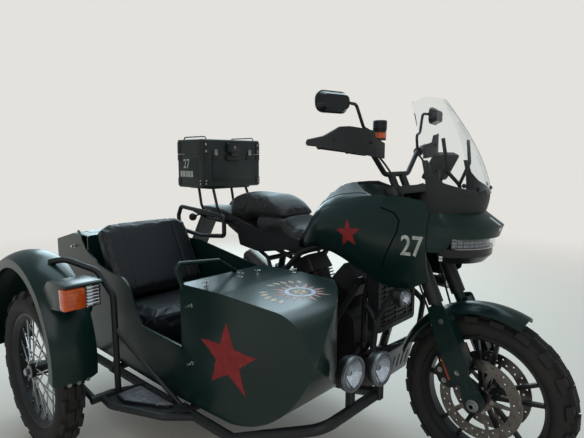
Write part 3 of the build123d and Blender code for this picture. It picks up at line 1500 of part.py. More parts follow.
# columns: x of the lens, y, height
lamp_places = ((1346, -569, 536), (1379, -440, 522))
lamp_r = 61.0
lamp_bowl = 36.0
with BuildPart() as sidecar_lamps:
    for x, y, z in lamp_places:
        with BuildSketch(side(y)):
            with BuildLine():
                Polyline((x - lamp_bowl, z), (x - lamp_bowl, z + 0.5 * lamp_r), (x - 8, z + lamp_r - 8),
                         (x, z + lamp_r - 6), (x, z + lamp_r),
                         (x - 18, z + lamp_r), (x - 18, z + lamp_r - 14), (x - 23, z + lamp_r - 14),
                         (x - 23, z + lamp_r - 3), (x - 28, z + lamp_r - 3), (x - 28, z + lamp_r - 17),
                         (x - 33, z + lamp_r - 17), (x - 33, z + lamp_r - 7), (x - 38, z + lamp_r - 7),
                         (x - 38, z + lamp_r - 22), (x - 54, z + lamp_r - 34), (x - 54, z),
                         (x - lamp_bowl, z))
            make_face()
        revolve(axis=Axis(at(x, y, z), (1, 0, 0)))
        with BuildSketch(level(408)):
            with Locations((x - 13, y)):
                RectangleRounded(24, 30, 5)
        extrude(amount=z - lamp_r + 4.5 - 408)
    add(sidecar_frame.part, mode=Mode.SUBTRACT)
    add(car_form(0), mode=Mode.SUBTRACT)
sidecar_lamps.part.label = "sidecar_lamps"
export_step(sidecar_lamps.part, "parts/sidecar_lamps.step")

with BuildPart() as fender_lamps:
    with BuildSketch(side(-track - 62)):
        with BuildLine():
            Polyline((380, 700), (505, 712), (505, 772), (396, 782), (330, 760), (380, 700))
        make_face()
    extrude(amount=-124)
    with BuildSketch(across(505)):
        with Locations((-track, 742)):
            RectangleRounded(112, 52, 8)
    extrude(amount=30, taper=8)
    with BuildSketch(across(-352)):
        with Locations((-track, 700)):
            RectangleRounded(90, 60, 8)
    extrude(amount=46)
    add(sidecar_fender.part, mode=Mode.SUBTRACT)
fender_lamps.part.label = "fender_lamps"
export_step(fender_lamps.part, "parts/fender_lamps.step")
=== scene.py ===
"""Looks of a touring motorcycle with a sidecar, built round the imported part."""

import json
import random
from math import cos, exp, pi, radians, sin

import bmesh
import bpy
from mathutils import Matrix, Vector
from mathutils.bvhtree import BVHTree


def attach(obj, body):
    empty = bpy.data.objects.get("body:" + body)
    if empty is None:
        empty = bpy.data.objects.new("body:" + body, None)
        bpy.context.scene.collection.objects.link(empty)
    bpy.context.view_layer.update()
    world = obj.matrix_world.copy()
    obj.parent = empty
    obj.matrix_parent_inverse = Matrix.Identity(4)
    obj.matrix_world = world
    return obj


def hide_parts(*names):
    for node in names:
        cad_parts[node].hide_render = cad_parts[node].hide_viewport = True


bl_info = {
    "name": "Sidecar outfit looks",
    "version": (1, 0, 0),
    "blender": (4, 5, 0),
    "location": "View3D > Sidebar > Sidecar outfit",
    "description": "Dresses the packed sidecar motorcycle with materials, seats, lamps and small parts",
    "category": "Add Mesh",
}

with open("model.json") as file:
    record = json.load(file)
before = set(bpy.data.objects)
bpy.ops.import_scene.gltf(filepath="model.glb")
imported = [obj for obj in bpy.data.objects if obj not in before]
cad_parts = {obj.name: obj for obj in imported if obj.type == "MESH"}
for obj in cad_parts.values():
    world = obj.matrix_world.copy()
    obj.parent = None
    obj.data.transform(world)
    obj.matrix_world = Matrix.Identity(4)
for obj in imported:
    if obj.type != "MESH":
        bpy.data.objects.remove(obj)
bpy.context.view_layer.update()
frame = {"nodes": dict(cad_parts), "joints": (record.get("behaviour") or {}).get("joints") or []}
NODES = frame["nodes"]
JOINTS = {joint["name"]: joint for joint in frame["joints"]}
REAR_AXLE = Vector(JOINTS["rear_wheel_spin"]["pos_m"])
FRONT_AXLE = Vector(JOINTS["front_wheel_spin"]["pos_m"])
CAR_AXLE = Vector(JOINTS["sidecar_wheel_spin"]["pos_m"])
RAKE = radians(25)
UP_LEG = Vector((-sin(RAKE), 0, cos(RAKE)))
AHEAD_OF_LEG = Vector((cos(RAKE), 0, sin(RAKE)))
RIGHT = Vector((0, -1, 0))
LEFT = Vector((0, 1, 0))
AHEAD = Vector((1, 0, 0))
BACK = Vector((-1, 0, 0))
UP = Vector((0, 0, 1))
MM = 0.001
# The sign of a place across the motorcycle on each side, and the side's name
SIDES = ((-1, "right"), (1, "left"))
# Middle of the arcs that the headlamp follows, in millimetres ahead of the rear axle
LAMP_ARC_X = 1407.0
BACKDROP = "#E4E2DD"


def at(x, y, z):
    """A place in millimetres ahead of the rear axle, left of the motorcycle's middle, and up."""
    return Vector((REAR_AXLE.x + x * MM, REAR_AXLE.y + y * MM, z * MM))


def leg_point(along, ahead, y):
    """A place beside the fork leg, in millimetres from the front axle."""
    return FRONT_AXLE + UP_LEG * along * MM + AHEAD_OF_LEG * ahead * MM + LEFT * y * MM


def linear(hex_colour):
    """An sRGB hex colour as linear red, green, blue and alpha."""
    parts = [int(hex_colour[i:i + 2], 16) / 255 for i in (1, 3, 5)]
    return tuple(p / 12.92 if p <= 0.04045 else ((p + 0.055) / 1.055) ** 2.4 for p in parts) + (1.0,)


# Sizes and colours that a user would change


class OutfitColours(bpy.types.PropertyGroup):
    """The outfit's colours."""

    body: bpy.props.FloatVectorProperty(
        name="Body paint", description="The dark green of the bodywork", subtype="COLOR",
        default=linear("#08221F")[:3], min=0, max=1)
    star: bpy.props.FloatVectorProperty(
        name="Star", description="The red of the painted stars", subtype="COLOR",
        default=linear("#9A1E22")[:3], min=0, max=1)
    number: bpy.props.FloatVectorProperty(
        name="Number", description="The white of the stencilled number", subtype="COLOR",
        default=linear("#C4C8C2")[:3], min=0, max=1)
    floor: bpy.props.FloatVectorProperty(
        name="Floor", description="The pale floor", subtype="COLOR",
        default=linear("#E0D4C9")[:3], min=0, max=1)


class OutfitSizes(bpy.types.PropertyGroup):
    """The sizes of the outfit's small parts."""

    star_radius: bpy.props.FloatProperty(
        name="Sidecar star", description="Radius of the star on the sidecar", unit="LENGTH",
        default=0.136, min=0.05, max=0.25)
    tank_star_radius: bpy.props.FloatProperty(
        name="Tank star", description="Radius of the star on the tank", unit="LENGTH",
        default=0.062, min=0.02, max=0.1)
    number_height: bpy.props.FloatProperty(
        name="Number height", description="Height of the number on the side panel", unit="LENGTH",
        default=0.080, min=0.03, max=0.15)
    stud_radius: bpy.props.FloatProperty(
        name="Cover stud", description="Radius of the studs that hold the sidecar's cover",
        unit="LENGTH", default=0.0105, min=0.004, max=0.02)
    ornament_radius: bpy.props.FloatProperty(
        name="Cowl ornament", description="Radius of the ornament on the sidecar's cowl",
        unit="LENGTH", default=0.118, min=0.05, max=0.25)
    swell: bpy.props.FloatProperty(
        name="Padding swell", description="How far a cushion may swell from its pattern",
        unit="LENGTH", default=0.012, min=0, max=0.03)


def sizes():
    """The sizes set in the panel, in metres."""
    return bpy.context.scene.outfit_sizes


def chosen(name):
    """A colour set in the panel, as linear red, green, blue and alpha."""
    return (*getattr(bpy.context.scene.outfit_colours, name), 1.0)


# Materials

MATERIALS = {}


def add_node(tree, kind, settings=None, **links):
    """A shader node with its settings and sockets; a link is given as a socket, a value as itself."""
    node = tree.nodes.new(kind)
    for key, value in (settings or {}).items():
        setattr(node, key, value)
    for key, value in links.items():
        name = key.replace("_", " ")
        socket = node.inputs[int(name[1:])] if name[1:].isdigit() else node.inputs[name]
        if isinstance(value, bpy.types.NodeSocket):
            tree.links.new(value, socket)
        else:
            socket.default_value = value
    return node


def pattern(tree, size_mm, detail, stretch=(1, 1, 1)):
    """Noise whose grain has a real size, on the object's own coordinates."""
    place = add_node(tree, "ShaderNodeTexCoord")
    turned = add_node(tree, "ShaderNodeMapping", Vector=place.outputs["Object"], Scale=stretch)
    return add_node(tree, "ShaderNodeTexNoise", Vector=turned.outputs["Vector"],
                    Scale=1000 / size_mm, Detail=detail, Roughness=0.55)


def new_shader(key, name):
    """A new material, listed under its key; gives its shader and its node tree."""
    material = MATERIALS[key] = bpy.data.materials.new(name)
    material.use_nodes = True
    return material.node_tree.nodes["Principled BSDF"], material.node_tree


def make_finish(key, name, base, second, patch_mm, grain_mm, grain_depth, rough, metallic=0.0,
                stretch=(1, 1, 1), cells=False, **fixed):
    """A surface whose colour drifts in patches and whose fine grain stands in its bump.

    base is a colour set in the panel, or a hex colour as second always is. fixed holds the
    shader's own sockets that are the same all over, such as Coat_Weight.
    """
    shader, tree = new_shader(key, name)
    if isinstance(base, str):
        base = linear(base)
    patches = pattern(tree, patch_mm, 5.0)
    drift = add_node(tree, "ShaderNodeMapRange", Value=patches.outputs["Fac"], From_Min=0.35,
                     From_Max=0.68)
    tint = add_node(tree, "ShaderNodeMix", {"data_type": "RGBA"}, Factor=drift.outputs["Result"],
                    i6=base, i7=linear(second))
    tree.links.new(tint.outputs[2], shader.inputs["Base Color"])
    if cells:
        place = add_node(tree, "ShaderNodeTexCoord")
        grain = add_node(tree, "ShaderNodeTexVoronoi", {"feature": "SMOOTH_F1"},
                         Vector=place.outputs["Object"], Scale=1000 / grain_mm).outputs["Distance"]
    else:
        grain = pattern(tree, grain_mm, 3.0, stretch).outputs["Fac"]
    sheen = add_node(tree, "ShaderNodeMapRange", Value=patches.outputs["Fac"], From_Min=0.3,
                     From_Max=0.7, To_Min=rough[0], To_Max=rough[1])
    tree.links.new(sheen.outputs["Result"], shader.inputs["Roughness"])
    bump = add_node(tree, "ShaderNodeBump", Height=grain, Strength=grain_depth[0],
                    Distance=grain_depth[1] * MM)
    tree.links.new(bump.outputs["Normal"], shader.inputs["Normal"])
    shader.inputs["Metallic"].default_value = metallic
    for socket, value in fixed.items():
        shader.inputs[socket.replace("_", " ")].default_value = value


def make_clear(key, name, colour, ior):
    """A clear or tinted transparent plastic or glass."""
    shader, _ = new_shader(key, name)
    shader.inputs["Base Color"].default_value = linear(colour)
    shader.inputs["Transmission Weight"].default_value = 1.0
    shader.inputs["IOR"].default_value = ior
    shader.inputs["Roughness"].default_value = 0.02


def make_materials():
    """Every finish of the outfit, each from what the real one is."""
    # Satin two-pack paint over steel: near-black green, even, with a soft sky-coloured gloss.
    make_finish("green", "satin_green_paint", chosen("body"), "#0C2A27", 420, 3.0, (0.05, 0.3),
                (0.28, 0.38), Coat_Weight=0.35, Coat_Roughness=0.20, Specular_IOR_Level=0.20)
    # Powder coat on the luggage box's aluminium: the bodywork's green, flatter and grained.
    make_finish("box_green", "box_powder_coat", "#101F1D", "#172725", 200, 1.6, (0.15, 0.25),
                (0.44, 0.56))
    # Powder coat on steel tube: black, slightly pebbled, with greyer patches.
    make_finish("tube_black", "powder_coated_steel", "#121315", "#1C1D20", 160, 1.6, (0.12, 0.3),
                (0.42, 0.58))
    # Moulded ABS: black with a fine spark-eroded grain and a dull sheen.
    make_finish("plastic", "moulded_abs_plastic", "#131417", "#1B1D20", 240, 1.4, (0.25, 0.25),
                (0.48, 0.62))
    # Smooth moulded plastic of the headlamp's housing and the mirrors: darker and glossier.
    make_finish("gloss_plastic", "polished_abs_plastic", "#0F1113", "#16181B", 300, 4.0, (0.03, 0.2),
                (0.24, 0.34))
    # Cast alloy wheels, enamelled black: smooth, faint casting ripple.
    make_finish("wheel_black", "enamelled_cast_alloy", "#141517", "#1E1F22", 90, 2.5, (0.1, 0.3),
                (0.34, 0.46))
    # Sand-cast engine cases, dark grey coating, coarse grain that catches light.
    make_finish("engine_black", "coated_sand_casting", "#1F1F21", "#2E2C2B", 70, 1.8, (0.35, 0.5),
                (0.45, 0.62), metallic=0.3)
    # Bead-blasted aluminium: pale grey, soft.
    make_finish("alloy", "blasted_aluminium", "#83868A", "#9A9C9E", 80, 1.5, (0.2, 0.2), (0.38, 0.5),
                metallic=0.9)
    # Stainless steel sheet, brushed along its length, in two warm greys.
    make_finish("stainless", "brushed_stainless_steel", "#6E6A66", "#8A8680", 120, 0.8, (0.15, 0.15),
                (0.28, 0.42), metallic=1.0, stretch=(0.06, 1, 1))
    # Chromium plate on brass and steel: a mirror with a faint haze in patches.
    make_finish("chrome", "chromium_plate", "#C9CBCD", "#B4B6B8", 40, 6.0, (0.02, 0.1), (0.06, 0.14),
                metallic=1.0)
    # Zinc-plated bolts and nuts: bright grey, a little dull.
    make_finish("zinc", "zinc_plated_steel", "#9A9CA0", "#B8BABC", 20, 1.0, (0.15, 0.1), (0.25, 0.38),
                metallic=1.0)
    # Ground disc steel: fine grain, warm grey.
    make_finish("disc", "ground_disc_steel", "#77736F", "#8E8A86", 30, 0.9, (0.2, 0.1), (0.26, 0.38),
                metallic=1.0)
    # Galvanised plate of the step and the skid plate: mottled dull grey.
    make_finish("plate", "galvanised_steel_plate", "#75747A", "#8E8C8F", 26, 2.0, (0.15, 0.2),
                (0.42, 0.58), metallic=0.75)
    # Tyre tread: carbon-black rubber dulled by brown dust.
    make_finish("tyre", "dusty_tyre_rubber", "#1B1B1B", "#2D2B28", 55, 1.6, (0.4, 0.5), (0.72, 0.9))
    # Plain moulded rubber of grips and pegs.
    make_finish("rubber", "moulded_rubber", "#161616", "#222222", 30, 1.2, (0.3, 0.3), (0.6, 0.75))
    # Painted shade for the gap between two panels: a near-black matt strip that gives back almost no
    # light.
    make_finish("gap_shade", "painted_gap_shade_strip", "#050606", "#080909", 30, 1.2, (0.2, 0.2), (0.8, 0.95),
                Specular_IOR_Level=0.1)
    # Marine vinyl of the sidecar's seat: blue-black, pebble grain, soft sheen.
    make_finish("vinyl", "marine_vinyl", "#0F1318", "#161B20", 180, 2.6, (0.35, 0.3), (0.40, 0.52),
                cells=True, Sheen_Weight=0.08, Sheen_Roughness=0.4)
    # Motorcycle seat cover: grippy black vinyl with a greyish bloom on top.
    make_finish("seat", "grip_seat_vinyl", "#121214", "#1B1B1D", 120, 1.8, (0.4, 0.3), (0.46, 0.6),
                cells=True, Sheen_Weight=0.06, Sheen_Roughness=0.5)
    # Red paint brushed on by hand: flat, a little darker in patches.
    make_finish("red_paint", "brushed_red_paint", chosen("star"), "#7E1A1E", 34, 2.0, (0.2, 0.2),
                (0.5, 0.66))
    # Stencilled white spray paint: chalky, slightly grey.
    make_finish("white_paint", "stencilled_white_paint", chosen("number"), "#9DA29C", 22, 1.5,
                (0.15, 0.15), (0.55, 0.7))
    # Print film of the cowl's ornament in three pale colours: partly faded, partly a painted sheen of the
    # sky washed over the print.
    make_finish("film_pink", "pink_film_faded_and_sheen_washed", "#C4928D", "#A8726E", 24, 2.0, (0.05, 0.1),
                (0.35, 0.5))
    make_finish("film_blue", "blue_film_faded_and_sheen_washed", "#C2C9D6", "#AEB6C8", 24, 2.0, (0.05, 0.1),
                (0.35, 0.5))
    make_finish("film_cream", "cream_film_faded_and_sheen_washed", "#CDBD9E", "#BC9C7C", 24, 2.0, (0.05, 0.1),
                (0.35, 0.5))
    # Moulded polycarbonate lamp lenses, amber and red, under a glossy coat.
    make_finish("amber", "amber_lamp_plastic", "#C8470E", "#E0641A", 16, 3.0, (0.3, 0.4), (0.12, 0.2),
                Coat_Weight=0.8, Coat_Roughness=0.05, Subsurface_Weight=0.2)
    make_finish("red_lens", "red_lamp_plastic", "#8E1414", "#A81E1A", 16, 3.0, (0.3, 0.4), (0.12, 0.2),
                Coat_Weight=0.8, Coat_Roughness=0.05)
    # Vacuum-metallised lamp reflectors: bright mirror with slight waves.
    make_finish("reflector", "metallised_reflector", "#D9DCE0", "#BFC8DA", 9, 7.0, (0.3, 0.6),
                (0.05, 0.12), metallic=1.0)
    # The same in smoked plastic, behind the headlamp's cover.
    make_finish("smoked_reflector", "smoked_reflector", "#6E747B", "#565C63", 7, 5.0, (0.3, 0.5),
                (0.08, 0.2), metallic=1.0)
    # Opal plastic of the running light and the position lamps: white, not lit.
    make_finish("white_lens", "opal_lamp_plastic", "#D6DAD8", "#C6CCCC", 12, 2.0, (0.1, 0.1),
                (0.2, 0.3))
    # Clear lamp glass, clear acrylic screen and the dark display's cover glass.
    make_clear("lens", "clear_lamp_glass", "#EEF3F6", 1.45)
    make_clear("screen", "clear_acrylic_sheet", "#F3F7F8", 1.16)
    make_finish("display", "display_cover_glass", "#07090C", "#0B0E12", 60, 8.0, (0.0, 0.1),
                (0.04, 0.08))
    make_finish("mirror", "silvered_glass", "#D5DADD", "#CDD3D6", 100, 9.0, (0.0, 0.1), (0.02, 0.04),
                metallic=1.0)


# Meshes


def new_piece(name, bm, material, body, smooth_angle=35.0, recalc=True):
    """Turns a bmesh into a piece that rides a CAD body."""
    if recalc:
        bmesh.ops.recalc_face_normals(bm, faces=bm.faces)
    mesh = bpy.data.meshes.new(name)
    bm.to_mesh(mesh)
    bm.free()
    mesh.materials.append(MATERIALS[material])
    for polygon in mesh.polygons:
        polygon.use_smooth = True
    mesh.set_sharp_from_angle(angle=radians(smooth_angle))
    piece = bpy.data.objects.new(name, mesh)
    bpy.context.scene.collection.objects.link(piece)
    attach(piece, body)
    return piece


def turned_piece(name, centre, axis, profile, material, body="chassis", steps=32, smooth_angle=35.0):
    """A piece of one turned shape."""
    bm = bmesh.new()
    add_turned(bm, centre, axis, profile, steps)
    new_piece(name, bm, material, body, smooth_angle)


def block_piece(name, centre, size, bevel, material):
    """A piece of one box with rounded edges."""
    bm = bmesh.new()
    add_block(bm, centre, size, bevel)
    new_piece(name, bm, material, "chassis")


def plate_piece(name, matrix, outline, depth, bevel, material, body="chassis"):
    """A piece of one flat plate."""
    bm = bmesh.new()
    add_outline(bm, matrix, outline, depth, bevel)
    new_piece(name, bm, material, body)


def laid_piece(name, bm, nodes, axis, material, lift=0.5, slice_mm=9.0):
    """Lays flat shapes on the CAD nodes below them, as paint or film; axis points off the surface."""
    lay_on(bm, surface_of(*nodes), -axis, lift, slice_mm)
    new_piece(name, bm, material, "chassis", 180, recalc=False)


def facing(centre, axis, spin=0.0):
    """A matrix whose local z runs along axis, set at centre and turned by spin."""
    turn = axis.to_track_quat("Z", "Y").to_matrix().to_4x4()
    return Matrix.Translation(centre) @ turn @ Matrix.Rotation(spin, 4, "Z")


def upright(centre, axis):
    """A matrix whose local z runs along axis and whose local y stays as near up as it can."""
    z = axis.normalized()
    x = UP.cross(z).normalized()
    return Matrix.Translation(centre) @ Matrix((x, z.cross(x), z)).transposed().to_4x4()


def add_turned(bm, centre, axis, profile, steps=32):
    """A piece turned on a lathe: profile is (radius, height) in millimetres, open at the ends."""
    matrix = facing(centre, axis)
    verts = [bm.verts.new(matrix @ Vector((r * MM, 0, h * MM))) for r, h in profile]
    edges = [bm.edges.new(pair) for pair in zip(verts, verts[1:])]
    bmesh.ops.spin(bm, geom=verts + edges, cent=centre, axis=matrix.to_3x3() @ UP,
                   angle=2 * pi, steps=steps, use_merge=True, use_duplicate=False)
    bmesh.ops.remove_doubles(bm, verts=bm.verts, dist=1e-6)


def add_rod(bm, start, end, radius, segments=16, end_radius=None):
    """A straight round rod with closed ends, radius in millimetres."""
    axis = end - start
    bmesh.ops.create_cone(
        bm, cap_ends=True, segments=segments, radius1=radius * MM,
        radius2=(radius if end_radius is None else end_radius) * MM, depth=axis.length,
        matrix=facing((start + end) / 2, axis))


def soften(bm, edges, radius):
    """Rounds edges, radius in millimetres."""
    bmesh.ops.bevel(bm, geom=edges, offset=radius * MM, affect="EDGES", segments=2, profile=0.5,
                    material=-1)


def add_block(bm, place, size, bevel=1.5):
    """A box with rounded edges: place is its middle or a matrix, size its x, y and z in millimetres."""
    matrix = place if isinstance(place, Matrix) else Matrix.Translation(place)
    made = bmesh.ops.create_cube(bm, size=1, matrix=matrix @ Matrix.Diagonal((*(s * MM for s in size), 1)))
    soften(bm, list({edge for vert in made["verts"] for edge in vert.link_edges}), bevel)


def add_outline(bm, matrix, points, depth=0.0, bevel=0.0):
    """A flat plate from an outline in millimetres in the matrix's plane, made as thick as depth."""
    face = bm.faces.new([bm.verts.new(matrix @ Vector((x * MM, y * MM, 0))) for x, y in points])
    if not depth:
        return
    made = bmesh.ops.extrude_face_region(bm, geom=[face])
    moved = [item for item in made["geom"] if isinstance(item, bmesh.types.BMVert)]
    bmesh.ops.translate(bm, verts=moved, vec=(matrix.to_3x3() @ UP) * depth * MM)
    if bevel:
        soften(bm, [edge for edge in bm.edges if all(vert in moved for vert in edge.verts)], bevel)


def add_bolt(bm, centre, axis, radius, hexagon=True):
    """A washer and a bolt head standing on a surface."""
    add_rod(bm, centre - axis * MM, centre + axis * 1.2 * MM, radius * 1.45, 20)
    add_rod(bm, centre + axis * 0.8 * MM, centre + axis * radius * 0.9 * MM, radius,
            6 if hexagon else 20, radius * 0.9)


def rounded(width, height, radius, steps=6):
    """The outline in millimetres of a rectangle with round corners."""
    points = []
    for index, (x, y) in enumerate(((1, 1), (-1, 1), (-1, -1), (1, -1))):
        for step in range(steps + 1):
            angle = pi / 2 * (index + step / steps)
            points.append((x * (width / 2 - radius) + radius * cos(angle),
                           y * (height / 2 - radius) + radius * sin(angle)))
    return points


def ribbed(start, stop, pitch, low, high, flank, width):
    """The ribs of a turned profile: their two radii, and each rib's flank and width in millimetres."""
    profile = []
    while start < stop:
        profile += [(low, start), (high, start + flank), (high, start + width - flank),
                    (low, start + width)]
        start += pitch
    return profile


def landing(tree, start, way, name):
    """Where a ray from start meets a surface, and the surface's normal towards the start."""
    hit, normal, _, _ = tree.ray_cast(start, way)
    if hit is None:
        raise RuntimeError(name + " misses its surface")
    return hit, (normal if normal.dot(way) < 0 else -normal)


def set_bolts(name, nodes, drops, radius, material="zinc", body="chassis", hexagon=True):
    """Bolts on a surface, each dropped from its start along its way until it lands."""
    tree = surface_of(*nodes)
    bm = bmesh.new()
    for start, way in drops:
        hit, normal = landing(tree, start, way, name)
        add_bolt(bm, hit, normal, radius, hexagon)
    new_piece(name, bm, material, body)


def shape_of(curve):
    """The mesh that a curve or a text makes, as a bmesh."""
    shape = bpy.data.objects.new(curve.name + "_shape", curve)
    bpy.context.scene.collection.objects.link(shape)
    graph = bpy.context.evaluated_depsgraph_get()
    mesh = bpy.data.meshes.new_from_object(shape.evaluated_get(graph))
    bpy.data.objects.remove(shape)
    bm = bmesh.new()
    bm.from_mesh(mesh)
    bpy.data.meshes.remove(mesh)
    return bm


def bent_rod(name, points, radius, material, body):
    """A smooth bent rod or hose through points, as a mesh."""
    curve = bpy.data.curves.new(name, "CURVE")
    curve.dimensions = "3D"
    curve.bevel_depth = radius * MM
    curve.bevel_resolution = 4
    curve.resolution_u = 6
    curve.use_fill_caps = True
    spline = curve.splines.new("NURBS")
    spline.points.add(len(points) - 1)
    for control, point in zip(spline.points, points):
        control.co = (*point, 1)
    spline.order_u = 3
    spline.use_endpoint_u = True
    bm = shape_of(curve)
    bmesh.ops.remove_doubles(bm, verts=bm.verts, dist=1e-6)
    new_piece(name, bm, material, body)


def surface_of(*nodes):
    """A search tree over the CAD nodes' faces."""
    points, faces = [], []
    for node in nodes:
        mesh = NODES[node].data
        start = len(points)
        points += [vert.co.copy() for vert in mesh.vertices]
        faces += [[start + index for index in polygon.vertices] for polygon in mesh.polygons]
    return BVHTree.FromPolygons(points, faces)


def lay_on(bm, tree, direction, lift, slice_mm):
    """Cuts a flat shape into strips and drops it onto a surface, standing lift off it."""
    # the rays start this far before the shape, in metres, so that they meet what lies ahead of it
    run_up = 0.3
    across = direction.orthogonal().normalized()
    for cut in (across, direction.cross(across).normalized()):
        reach = [vert.co.dot(cut) for vert in bm.verts]
        place = min(reach) + slice_mm * MM
        while place < max(reach):
            bmesh.ops.bisect_plane(bm, geom=bm.verts[:] + bm.edges[:] + bm.faces[:], dist=1e-7,
                                   plane_co=cut * place, plane_no=cut)
            place += slice_mm * MM
    bmesh.ops.triangulate(bm, faces=bm.faces)
    lost = []
    for vert in bm.verts:
        hit = tree.ray_cast(vert.co - direction * run_up, direction)[0]
        if hit is None:
            lost.append(vert)
        else:
            vert.co = hit - direction * lift * MM
    bmesh.ops.delete(bm, geom=lost, context="VERTS")


def rough_star(bm, matrix, radius, waist, ragged, rng, lean=0.0, wide=1.0):
    """A five-pointed star with a hand-painted, slightly ragged edge."""
    steps = 8
    corners = []
    for index in range(10):
        reach = radius if index % 2 == 0 else radius * waist
        angle = pi / 2 + lean + index * pi / 5
        corners.append(Vector((reach * cos(angle), reach * sin(angle), 0)))
    points = []
    for index, corner in enumerate(corners):
        following = corners[(index + 1) % 10]
        normal = (following - corner).orthogonal().normalized()
        for step in range(steps):
            wander = rng.uniform(-1, 1) * ragged if step else 0.0
            points.append(corner.lerp(following, step / steps) + normal * wander)
    bm.faces.new([bm.verts.new(matrix @ Vector((wide * point.x, point.y, 0))) for point in points])


# Operators


class OutfitMaker:
    """What every operator of this add-on shares."""

    bl_options = {"REGISTER", "UNDO"}


class OUTFIT_OT_stage(OutfitMaker, bpy.types.Operator):
    """Lay the floor and set the lights, the world and the camera"""

    bl_idname = "outfit.stage"
    bl_label = "Stage"

    def lay_floor(self):
        """A round floor that goes over into the backdrop away from the outfit, so no edge shows."""
        floor_radius, plain_within, backdrop_from = 30.0, 2.0, 7.0
        material = bpy.data.materials.new("painted_studio_floor")
        material.use_nodes = True
        tree = material.node_tree
        shader = tree.nodes["Principled BSDF"]
        shader.inputs["Base Color"].default_value = chosen("floor")
        shader.inputs["Roughness"].default_value = 0.85
        place = add_node(tree, "ShaderNodeTexCoord")
        away = add_node(tree, "ShaderNodeVectorMath", {"operation": "LENGTH"},
                        i0=place.outputs["Object"])
        share = add_node(tree, "ShaderNodeMapRange", {"interpolation_type": "SMOOTHSTEP"},
                         Value=away.outputs["Value"], From_Min=plain_within, From_Max=backdrop_from)
        glow = add_node(tree, "ShaderNodeEmission", Color=linear(BACKDROP), Strength=1.0)
        blend = add_node(tree, "ShaderNodeMixShader", Fac=share.outputs["Result"],
                         i1=shader.outputs["BSDF"], i2=glow.outputs["Emission"])
        tree.links.new(blend.outputs["Shader"], tree.nodes["Material Output"].inputs["Surface"])
        bm = bmesh.new()
        bmesh.ops.create_circle(bm, cap_ends=True, segments=64, radius=floor_radius)
        mesh = bpy.data.meshes.new("floor")
        bm.to_mesh(mesh)
        bm.free()
        mesh.materials.append(material)
        floor = bpy.data.objects.new("floor", mesh)
        bpy.context.scene.collection.objects.link(floor)

    def set_world(self):
        """A dim pale sky that lights the outfit; the camera and clear pieces see the backdrop."""
        world = bpy.data.worlds.new("studio_world")
        bpy.context.scene.world = world
        world.use_nodes = True
        tree = world.node_tree
        tree.nodes.clear()
        rays = add_node(tree, "ShaderNodeLightPath")
        seen = add_node(tree, "ShaderNodeMath", {"operation": "ADD", "use_clamp": True},
                        i0=rays.outputs["Is Camera Ray"], i1=rays.outputs["Is Transmission Ray"])
        lit = add_node(tree, "ShaderNodeBackground", Color=linear("#E4ECEF"), Strength=0.40)
        shown = add_node(tree, "ShaderNodeBackground", Color=linear(BACKDROP), Strength=1.0)
        choice = add_node(tree, "ShaderNodeMixShader", Fac=seen.outputs["Value"],
                          i1=lit.outputs["Background"], i2=shown.outputs["Background"])
        add_node(tree, "ShaderNodeOutputWorld", Surface=choice.outputs["Shader"])

    def set_lights(self):
        """A soft key from the camera's side, a broad low sheet behind and one above."""
        # The two sheets lay the sky's sheen on every upper edge.
        # name, colour, place, aim, size and power
        for name, colour, place, aim, size, power in (
            ("key_light", "#FFFFFF", (3.2, -4.2, 3.6), (0, 0, 0.5), (3.4, 3.4), 48),
            ("sky_sheet", "#C4DFE9", (-3.6, 3.2, 2.4), (0, -0.2, 0.7), (5.6, 2.8), 225),
            ("top_sheet", "#C4DFE9", (-1.2, 1.3, 4.1), (0, -0.2, 0.6), (4.2, 3.4), 125),
        ):
            lamp = bpy.data.lights.new(name, "AREA")
            lamp.shape = "RECTANGLE"
            lamp.size, lamp.size_y = size
            lamp.energy = power
            lamp.color = linear(colour)[:3]
            light = bpy.data.objects.new(name, lamp)
            light.location = place
            # the screen and the lamp glasses don't show the sheets themselves
            light.visible_transmission = False
            light.rotation_euler = (Vector(aim) - Vector(place)).to_track_quat("-Z", "Y").to_euler()
            bpy.context.scene.collection.objects.link(light)

    def set_camera(self):
        """The camera at the photograph's place, turned by yaw from straight astern and tipped down."""
        place, yaw, pitch, lens_mm = at(2225.9, -1840.0, 1260.6), radians(47.56), radians(7.284), 29.44
        camera_data = bpy.data.cameras.new("photo_camera")
        camera_data.sensor_width = 36.0
        camera_data.lens = lens_mm
        camera = bpy.data.objects.new("photo_camera", camera_data)
        camera.location = place
        gaze = Vector((-cos(yaw) * cos(pitch), sin(yaw) * cos(pitch), -sin(pitch)))
        camera.rotation_euler = gaze.to_track_quat("-Z", "Y").to_euler()
        bpy.context.scene.collection.objects.link(camera)
        bpy.context.scene.camera = camera

    def execute(self, context):
        context.scene.view_settings.view_transform = "Standard"
        self.lay_floor()
        self.set_world()
        self.set_lights()
        self.set_camera()
        return {"FINISHED"}


NODE_FINISH = {
    "green": ("front_fender", "fork_legs", "fuel_tank", "side_panels", "nose_fairing",
              "sidecar_body", "sidecar_cowl", "sidecar_boot", "sidecar_boot_lid", "sidecar_fender",
              "sidecar_grab_rail", "fender_lamps"),
    "box_green": ("top_box", "top_box_lid"),
    "tube_black": ("crash_bars", "fork", "handlebar", "luggage_rack", "main_frame", "side_stand",
                   "sidecar_frame", "sidecar_step", "sidecar_struts", "sidecar_suspension",
                   "swingarm", "front_calipers"),
    "plastic": ("hand_guards", "tail_section", "dash", "radiator", "screen_cowl"),
    "gloss_plastic": ("mirrors", "headlamp"),
    "wheel_black": ("front_wheel", "rear_wheel", "sidecar_wheel", "sidecar_lamps"),
    "engine_black": ("engine",),
    "stainless": ("exhaust",),
    "disc": ("front_discs", "drive_chain"),
    "plate": ("skid_plate",),
    "tyre": ("front_tyre", "rear_tyre", "sidecar_tyre"),
    "rubber": ("foot_pegs",),
    "seat": ("rider_seat", "pillion_seat"),
    "vinyl": ("sidecar_seat", "sidecar_backrest"),
    "screen": ("windscreen",),
}


